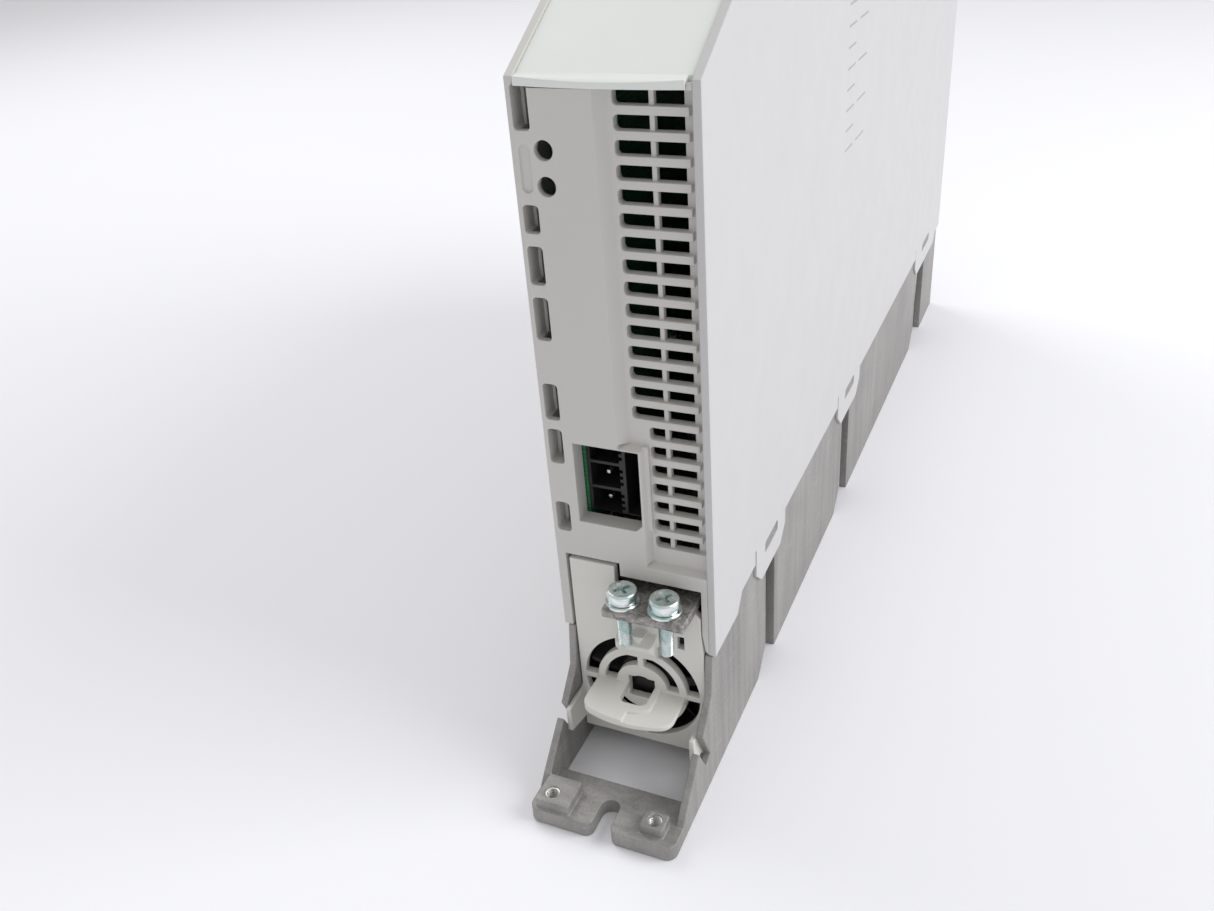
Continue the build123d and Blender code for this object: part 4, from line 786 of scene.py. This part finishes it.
# ================================================================ pieces
class DRIVE_OT_casting(bpy.types.Operator):
    """Finned casting with its flange, tapped pads and tongue"""

    bl_idname = "drive.casting"
    bl_label = "Casting"

    def execute(self, context):
        sizes = context.scene.drive_sizes
        softened("heatsink", sizes.casting_edge)
        for side in ("left", "right"):
            mouth = mount_at[f"shield_thread_{side}"]
            sleeve_length = 7.6 * MM
            sleeve = tapped_sleeve(
                f"tapped_hole_{side}", 2.0 * MM, sizes.thread_pitch, sizes.thread_depth,
                sleeve_length,
            )
            place = Matrix.Translation((mouth.x, mouth.y, sleeve_length / 2))
            settled(moved(sleeve, place, 25.0), "base", "casting")
        self.mark()
        return {"FINISHED"}

    def mark(self):
        """Raised ring with three bars beside the right pad, where the earth wire belongs."""
        low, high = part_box("heatsink")
        place = (7.4 * MM, low.y + 11.8 * MM)
        top = 5.0 * MM
        ring = [
            (2.1 * MM, top - 0.1 * MM), (2.1 * MM, top + 0.08 * MM),
            (2.35 * MM, top + 0.08 * MM), (2.35 * MM, top - 0.1 * MM),
        ]
        shape = turned(ring, 48, place=place)
        for reach, half in ((0.9, 1.3), (0.0, 1.0), (-0.9, 0.6)):
            y = place[1] + reach * MM
            low = (place[0] - half * MM, y - 0.12 * MM, top - 0.1 * MM)
            high = (place[0] + half * MM, y + 0.12 * MM, top + 0.08 * MM)
            block(shape, low, high, 0.03 * MM)
        settled(piece_from(shape, "casting_mark", "casting"), "base", "casting")


class DRIVE_OT_shells(bpy.types.Operator):
    """Housing, side cover and front cover"""

    bl_idname = "drive.shells"
    bl_label = "Shells"

    def execute(self, context):
        edge = context.scene.drive_sizes.shell_edge
        for node in ("housing", "side_cover", "front_cover"):
            softened(node, edge)
        return {"FINISHED"}


class DRIVE_OT_fan_carrier(bpy.types.Operator):
    """Carrier plate with its grille, pull grip and press tab"""

    bl_idname = "drive.fan_carrier"
    bl_label = "Fan carrier"

    def execute(self, context):
        softened("fan_carrier", context.scene.drive_sizes.shell_edge * 1.4)
        return {"FINISHED"}


class DRIVE_OT_fan(bpy.types.Operator):
    """Fan: frame, hub, twisted blades, shaft and windings"""

    bl_idname = "drive.fan"
    bl_label = "Fan"

    def execute(self, context):
        sizes = context.scene.drive_sizes
        softened("fan_frame", sizes.shell_edge)
        dressed("fan_bearing", "fan_stator", "fan_shaft", "fan_rotor")
        low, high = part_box("fan_rotor")
        centre = (low + high) / 2
        depth = high.y - low.y
        lying = Matrix.Translation(centre) @ Matrix.Rotation(pi / 2, 4, "X")
        hub, wall = 9.0 * MM, 1.2 * MM
        front, back = depth / 2, -depth / 2
        profile = [
            (0.0, front), (hub - 2.4 * MM, front), (hub - 1.2 * MM, front - 0.3 * MM),
            (hub - 0.3 * MM, front - 1.2 * MM), (hub, front - 2.4 * MM), (hub, back),
            (hub - wall, back), (hub - wall, front - wall * 2), (0.0, front - wall * 2),
        ]
        cup = moved(piece_from(turned(profile, 64), "fan_hub", "fan_plastic"), lying)
        settled(cup, "fan", "fan_plastic")
        blades = self.blades(sizes, hub - 0.3 * MM, (high.x - low.x) / 2, depth)
        settled(moved(blades, lying), "fan", "fan_plastic", "fan_rotor")
        return {"FINISHED"}

    def blades(self, sizes, hub, tip, depth):
        """Twisted, cambered blades around Z."""
        pattern = Pattern("fan_blades")
        inner, outer = pattern.given("Hub", hub), pattern.given("Tip", tip)
        sweep = pattern.given("Sweep", sizes.blade_sweep)
        count = pattern.given("Blades", sizes.blade_count)
        values = {"Size": (1, 1, 1), "Vertices X": 9, "Vertices Y": 13, "Vertices Z": 2}
        plate = pattern.node("GeometryNodeMeshCube", {}, values, "Mesh")
        x, y, z = pattern.parts(pattern.node("GeometryNodeInputPosition"))
        share = x + 0.5
        out = inner + share * (outer - inner)
        camber = (0.25 - y * y) * 0.25
        angle = y * sweep * (1.0 - share * 0.25) + camber + z * (0.0009 / out)
        along = y * (depth * 0.92) + z * 0.0003
        values = {
            "Geometry": plate,
            "Position": pattern.vector(out * angle.cosine(), out * angle.sine(), along),
        }
        blade = pattern.node("GeometryNodeSetPosition", {}, values)
        return pattern.build(pattern.turned_copies(blade, count), finish_of("fan_plastic"))


class DRIVE_OT_earth_bar(bpy.types.Operator):
    """Earth bar and its seat screws"""

    bl_idname = "drive.earth_bar"
    bl_label = "Earth bar"

    def execute(self, context):
        softened("earth_bar", context.scene.drive_sizes.casting_edge)
        dressed("bar_seat_screws")
        return {"FINISHED"}


class DRIVE_OT_earth_screws(bpy.types.Operator):
    """Earth screws with their thread, cross recess and captive washers"""

    bl_idname = "drive.earth_screws"
    bl_label = "Earth screws"

    def execute(self, context):
        for side in ("left", "right"):
            self.screw(context.scene.drive_sizes, side)
            self.washers(side)
        return {"FINISHED"}

    def screw(self, sizes, side):
        """Head and threaded tail, as one piece."""
        node = f"earth_screw_{side}"
        low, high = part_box(node)
        centre = (low + high) / 2
        height, lap = 2.6 * MM, 0.4 * MM
        head = pan_head(node + "_head", (high.x - low.x) / 2, height, sizes.cross_span)
        tail_length = high.z - low.z - height + lap
        tail = screw_tail(
            node + "_tail", 2.0 * MM, sizes.thread_pitch, sizes.thread_depth, tail_length
        )
        tail.data.transform(Matrix.Translation((0, 0, lap - tail_length / 2)))
        whole = joined(node + "_skin", head, tail)
        whole.data.transform(Matrix.Translation((centre.x, centre.y, high.z - height)))
        settled(whole, node, "zinc", node)

    def washers(self, side):
        """Flat washer and split washer, which rise with the screw."""
        low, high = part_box(f"earth_flat_washer_{side}")
        centre = (low + high) / 2
        outer, inner, edge = (high.x - low.x) / 2, 2.3 * MM, 0.12 * MM
        profile = [
            (inner, low.z), (outer - edge, low.z), (outer, low.z + edge),
            (outer, high.z - edge), (outer - edge, high.z), (inner, high.z),
        ]
        shape = turned(profile, 64, place=(centre.x, centre.y))
        flat = piece_from(shape, f"flat_washer_{side}", "zinc")
        settled(flat, f"earth_washers_{side}", "zinc", f"earth_flat_washer_{side}")
        low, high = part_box(f"earth_spring_washer_{side}")
        ring = split_ring(
            f"spring_washer_{side}", inner, (high.x - low.x) / 2,
            (high.z - low.z) * 0.82, (high.z - low.z) * 0.16,
        )
        ring.data.transform(Matrix.Translation((centre.x, centre.y, low.z)))
        settled(ring, f"earth_washers_{side}", "zinc", f"earth_spring_washer_{side}")


class DRIVE_OT_plug_headers(bpy.types.Operator):
    """Plug headers of the end panel and the front, with their pins"""

    bl_idname = "drive.plug_headers"
    bl_label = "Plug headers"

    def execute(self, context):
        edge = context.scene.drive_sizes.shell_edge / 2
        for node in (
            "io_header", "io_header_pins", "motor_header", "motor_header_blades",
            "supply_header", "supply_header_blades",
        ):
            softened(node, edge)
        return {"FINISHED"}


class DRIVE_OT_ports(bpy.types.Operator):
    """Network and feedback ports with their spring contacts"""

    bl_idname = "drive.ports"
    bl_label = "Ports"

    def execute(self, context):
        edge = context.scene.drive_sizes.shell_edge / 2
        softened("network_ports", edge)
        softened("feedback_port", edge)
        low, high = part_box("network_ports")
        span = (high.y - low.y - 14.0 * MM) / 2
        middle = (low.y + high.y) / 2
        for name, y in (("near", middle - span), ("far", middle + span)):
            place = Matrix.Translation((2.2 * MM, y - 3.55 * MM, high.z - 6.0 * MM))
            piece = moved(self.contacts(f"port_contacts_{name}"), place)
            settled(piece, "base", "tin")
        return {"FINISHED"}

    def contacts(self, name):
        """Row of eight leaning spring contacts."""
        pattern = Pattern(name)
        step = pattern.given("Step", 1.015 * MM)
        values = {"Size": (0.3 * MM, 0.45 * MM, 7.0 * MM), "Vertices Z": 5}
        blade = pattern.node("GeometryNodeMeshCube", {}, values, "Mesh")
        x, y, z = pattern.parts(pattern.node("GeometryNodeInputPosition"))
        bowed = x - z * 0.35 - z * z * 60.0
        values = {"Geometry": blade, "Position": pattern.vector(bowed, y, z)}
        blade = pattern.node("GeometryNodeSetPosition", {}, values)
        whole = pattern.row(blade, 8, pattern.vector(0.0, step, 0.0))
        return pattern.build(whole, finish_of("tin"))


class DRIVE_OT_status_display(bpy.types.Operator):
    """Status window over a display with plain bars"""

    bl_idname = "drive.status_display"
    bl_label = "Status display"

    def execute(self, context):
        softened("status_lens", context.scene.drive_sizes.shell_edge)
        dressed("status_display")
        low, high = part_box("status_display")
        centre = (low + high) / 2
        shape = bmesh.new()
        top = high.z + 0.05 * MM
        for digit in (-1, 0, 1):
            for reach in (-2.4, 0.0, 2.4):
                x, y = centre.x + reach * MM, centre.y + digit * 5.6 * MM
                block(
                    shape, (x - 0.25 * MM, y - 1.5 * MM, high.z - 0.2 * MM),
                    (x + 0.25 * MM, y + 1.5 * MM, top), 0.04 * MM,
                )
        mesh = bpy.data.meshes.new("display_bars")
        shape.to_mesh(mesh)
        shape.free()
        mesh.materials.append(lit_sign("display_light", (0.8, 0.25, 0.05)))
        bars = link(bpy.data.objects.new("display_bars", mesh))
        settled(bars, "base", "module_plastic")
        return {"FINISHED"}


class DRIVE_OT_boards(bpy.types.Operator):
    """Boards with their small parts, pillars, posts and screws"""

    bl_idname = "drive.boards"
    bl_label = "Boards"

    def execute(self, context):
        dressed("board_pillars", "board_screws", "power_board_posts")
        dressed("control_board", "power_board", "front_board")
        low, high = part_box("control_board")
        centre = (high.x, (low.y + high.y) / 2 + 40 * MM, high.z - 50 * MM)
        upright = Matrix.Translation(centre) @ Matrix.Rotation(pi / 2, 4, "Y")
        size = (74 * MM, 180 * MM)
        for name, slot, seed, least, most, spacing in (
            ("control_chips", "module_plastic", 3, (3, 3, 0.9), (9, 12, 1.6), 13),
            ("control_passives", "tin", 8, (0.8, 1.2, 0.5), (1.6, 2.6, 0.9), 4.2),
        ):
            piece = moved(self.scatter(name, slot, size, seed, least, most, spacing), upright)
            settled(piece, "base", slot)
        low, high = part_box("front_board")
        under = Matrix.Translation(((low.x + high.x) / 2, (low.y + high.y) / 2, low.z))
        under = under @ Matrix.Rotation(pi, 4, "X")
        size = (high.x - low.x - 9 * MM, high.y - low.y - 14 * MM)
        piece = self.scatter(
            "front_board_chips", "module_plastic", size, 5, (2, 3, 0.9), (6, 8, 1.6), 11
        )
        settled(moved(piece, under), "base", "module_plastic")
        return {"FINISHED"}

    def scatter(self, name, slot, size, seed, least, most, spacing):
        """Chamfered parts strewn over a board, apart from each other."""
        pattern = Pattern(name)
        luck = pattern.given("Seed", seed)
        apart = pattern.given("Spacing", spacing * MM)
        values = {"Size X": size[0], "Size Y": size[1], "Vertices X": 2, "Vertices Y": 2}
        sheet = pattern.node("GeometryNodeMeshGrid", {}, values, "Mesh")
        values = {"Mesh": sheet, "Distance Min": apart, "Density Max": 90000.0, "Seed": luck}
        settings = {"distribute_method": "POISSON"}
        points = pattern.node("GeometryNodeDistributePointsOnFaces", settings, values, "Points")
        values = {"Vertices": 4, "Side Segments": 1, "Radius": 0.7071, "Depth": 1.0}
        body = pattern.node("GeometryNodeMeshCylinder", {"fill_type": "NGON"}, values, "Mesh")
        x, y, z = pattern.parts(pattern.node("GeometryNodeInputPosition"))
        slim = 1.0 - (z > 0.0) * 0.14
        diagonal = 0.7071
        square = pattern.vector((x - y) * diagonal * slim, (x + y) * diagonal * slim, z + 0.5)
        body = pattern.node("GeometryNodeSetPosition", {}, {"Geometry": body, "Position": square})
        values = {
            "Min": tuple(value * MM for value in least), "Max": tuple(value * MM for value in most),
            "Seed": luck,
        }
        scale = pattern.node("FunctionNodeRandomValue", {"data_type": "FLOAT_VECTOR"}, values)
        values = {"Points": points, "Instance": body, "Scale": scale}
        whole = pattern.node("GeometryNodeInstanceOnPoints", {}, values)
        return pattern.build(whole, finish_of(slot))


class DRIVE_OT_power_parts(bpy.types.Operator):
    """Power module, capacitors, choke, relay and sensors"""

    bl_idname = "drive.power_parts"
    bl_label = "Power parts"

    def execute(self, context):
        sizes = context.scene.drive_sizes
        for node in ("power_module", "precharge_relay", "current_sensors"):
            softened(node, sizes.shell_edge)
        dressed("thermal_pad", "module_screws", "module_pins", "filter_choke")
        self.capacitors()
        self.winding(sizes)
        return {"FINISHED"}

    def capacitors(self):
        """Cans with a crimped groove, a rolled rim and a sunk top."""
        low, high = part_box("dc_link_capacitors")
        radius = (high.x - low.x) / 2
        pitch = 2 * radius + 3.0 * MM
        count = round((high.y - low.y + 3.0 * MM) / pitch)
        groove, rim = low.z + 4.5 * MM, high.z
        shape = bmesh.new()
        for index in range(count):
            profile = [
                (0.0, low.z), (radius - 0.6 * MM, low.z), (radius, low.z + 0.6 * MM),
                (radius, groove - 0.9 * MM), (radius - 0.8 * MM, groove),
                (radius, groove + 0.9 * MM), (radius, rim - 0.9 * MM),
                (radius - 0.9 * MM, rim), (radius - 2.2 * MM, rim),
                (radius - 2.6 * MM, rim - 0.5 * MM), (0.0, rim - 0.5 * MM),
            ]
            place = ((low.x + high.x) / 2, low.y + radius + index * pitch)
            turned(profile, 64, shape, place)
        cans = piece_from(shape, "capacitor_cans", "capacitor")
        settled(cans, "base", "capacitor", "dc_link_capacitors")

    def winding(self, sizes):
        """Turns of enamelled wire around the choke's core."""
        low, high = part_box("filter_choke")
        centre = (low + high) / 2
        outer, band = (high.x - low.x) / 2, 7.0 * MM
        pattern = Pattern("choke_winding")
        wire = pattern.given("Wire", sizes.wire / 2)
        turns = pattern.given("Turns", sizes.choke_turns)
        values = {"Width": band + sizes.wire, "Height": high.z - low.z + sizes.wire}
        loop = pattern.node("GeometryNodeCurvePrimitiveQuadrilateral", {}, values)
        values = {"Curve": loop, "Radius": 1.8 * MM, "Count": 4}
        rounded = pattern.node("GeometryNodeFilletCurve", {"mode": "POLY"}, values)
        values = {"Resolution": 8, "Radius": wire}
        profile = pattern.node("GeometryNodeCurvePrimitiveCircle", {}, values)
        values = {"Curve": rounded, "Profile Curve": profile}
        turn = pattern.node("GeometryNodeCurveToMesh", {}, values)
        values = {
            "Geometry": turn, "Translation": (outer - band / 2, 0.0, 0.0),
            "Rotation": (pi / 2, 0.0, 0.0),
        }
        turn = pattern.node("GeometryNodeTransform", {}, values)
        coil = pattern.build(pattern.turned_copies(turn, turns), finish_of("winding"))
        place = Matrix.Translation((centre.x, centre.y, centre.z + sizes.wire))
        settled(moved(coil, place), "base", "winding")


# ================================================================ stage
FLOOR_REACH = 6.0
SKY_STRENGTH = 0.62
SKY_COLOUR = (1.0, 0.995, 0.985, 1.0)
LAMPS = (
    # name, place, power, size
    ("left", (-1.0, 0.5, 1.2), 7.0, 1.0),
    ("right", (1.3, 0.2, 1.0), 16.0, 1.0),
)
LAMP_AIM = Vector((0.0, 0.0, 0.12))
CAMERA_PLACE = (0.099666, -0.380231, 0.242174)
CAMERA_YAW, CAMERA_PITCH, CAMERA_ROLL = radians(-26.10), radians(30.53), radians(-4.68)
FOCAL_LENGTH, SENSOR_WIDTH = 32.70, 36.0


class DRIVE_OT_stage(bpy.types.Operator):
    """Pale floor, soft light from both sides and the camera"""

    bl_idname = "drive.stage"
    bl_label = "Stage"

    def execute(self, context):
        scene = context.scene
        ends = (-FLOOR_REACH, FLOOR_REACH)
        mesh = bpy.data.meshes.new("floor")
        corners = [(ends[a], ends[b], 0) for a, b in ((0, 0), (1, 0), (1, 1), (0, 1))]
        mesh.from_pydata(corners, [], [(0, 1, 2, 3)])
        finish = Finish("floor", tuple(scene.drive_colours.floor))
        speck = finish.noise(300.0)
        finish.feed("Roughness", 0.6 + 0.15 * speck)
        mesh.materials.append(finish.material)
        link(bpy.data.objects.new("floor", mesh))
        self.light(scene)
        self.camera(scene)
        return {"FINISHED"}

    def light(self, scene):
        """Even sky and two soft lamps."""
        world = bpy.data.worlds.new("studio")
        scene.world = world
        world.use_nodes = True
        sky = world.node_tree.nodes["Background"]
        sky.inputs["Color"].default_value = SKY_COLOUR
        sky.inputs["Strength"].default_value = SKY_STRENGTH
        for name, place, power, size in LAMPS:
            light = bpy.data.lights.new(name, "AREA")
            light.energy = power
            light.size = size
            lamp = link(bpy.data.objects.new(name, light))
            lamp.location = place
            lamp.rotation_euler = (LAMP_AIM - lamp.location).to_track_quat("-Z", "Y").to_euler()

    def camera(self, scene):
        """Camera that looks down at the near end, slightly rolled."""
        yaw, pitch, roll = CAMERA_YAW, CAMERA_PITCH, CAMERA_ROLL
        forward = Vector((sin(yaw) * cos(pitch), cos(yaw) * cos(pitch), -sin(pitch)))
        side = Vector((cos(yaw), -sin(yaw), 0.0))
        up = side.cross(forward)
        across = cos(roll) * side + sin(roll) * up
        upward = cos(roll) * up - sin(roll) * side
        turn = Matrix((across, upward, -forward)).transposed().to_4x4()
        view = bpy.data.cameras.new("view")
        view.sensor_width = SENSOR_WIDTH
        view.lens = FOCAL_LENGTH
        view.clip_end = 50.0
        camera = link(bpy.data.objects.new("view", view))
        camera.matrix_world = Matrix.Translation(CAMERA_PLACE) @ turn
        scene.camera = camera
        scene.view_settings.view_transform = "Standard"


OPERATORS = (
    DRIVE_OT_casting, DRIVE_OT_shells, DRIVE_OT_fan_carrier, DRIVE_OT_fan, DRIVE_OT_earth_bar,
    DRIVE_OT_earth_screws, DRIVE_OT_plug_headers, DRIVE_OT_ports, DRIVE_OT_status_display,
    DRIVE_OT_boards, DRIVE_OT_power_parts, DRIVE_OT_stage,
)


class DRIVE_PT_sidebar(bpy.types.Panel):
    """Sizes, colours and pieces of the drive"""

    bl_idname = "DRIVE_PT_sidebar"
    bl_label = "Servo drive"
    bl_space_type = "VIEW_3D"
    bl_region_type = "UI"
    bl_category = "Drive"

    def draw(self, context):
        for group in (context.scene.drive_sizes, context.scene.drive_colours):
            box = self.layout.box()
            for name in group.__annotations__:
                box.prop(group, name)
        column = self.layout.column()
        for operator in OPERATORS:
            column.operator(operator.bl_idname)


CLASSES = (DriveSizes, DriveColours, *OPERATORS, DRIVE_PT_sidebar)


def register():
    """Add the classes and the scene's settings."""
    for cls in CLASSES:
        bpy.utils.register_class(cls)
    bpy.types.Scene.drive_sizes = PointerProperty(type=DriveSizes)
    bpy.types.Scene.drive_colours = PointerProperty(type=DriveColours)


def unregister():
    """Take them away again."""
    del bpy.types.Scene.drive_colours
    del bpy.types.Scene.drive_sizes
    for cls in reversed(CLASSES):
        bpy.utils.unregister_class(cls)


def main():
    """Make every piece and the stage."""
    register()
    for operator in OPERATORS:
        getattr(bpy.ops.drive, operator.bl_idname.split(".")[1])()


if __name__ == "__main__":
    main()
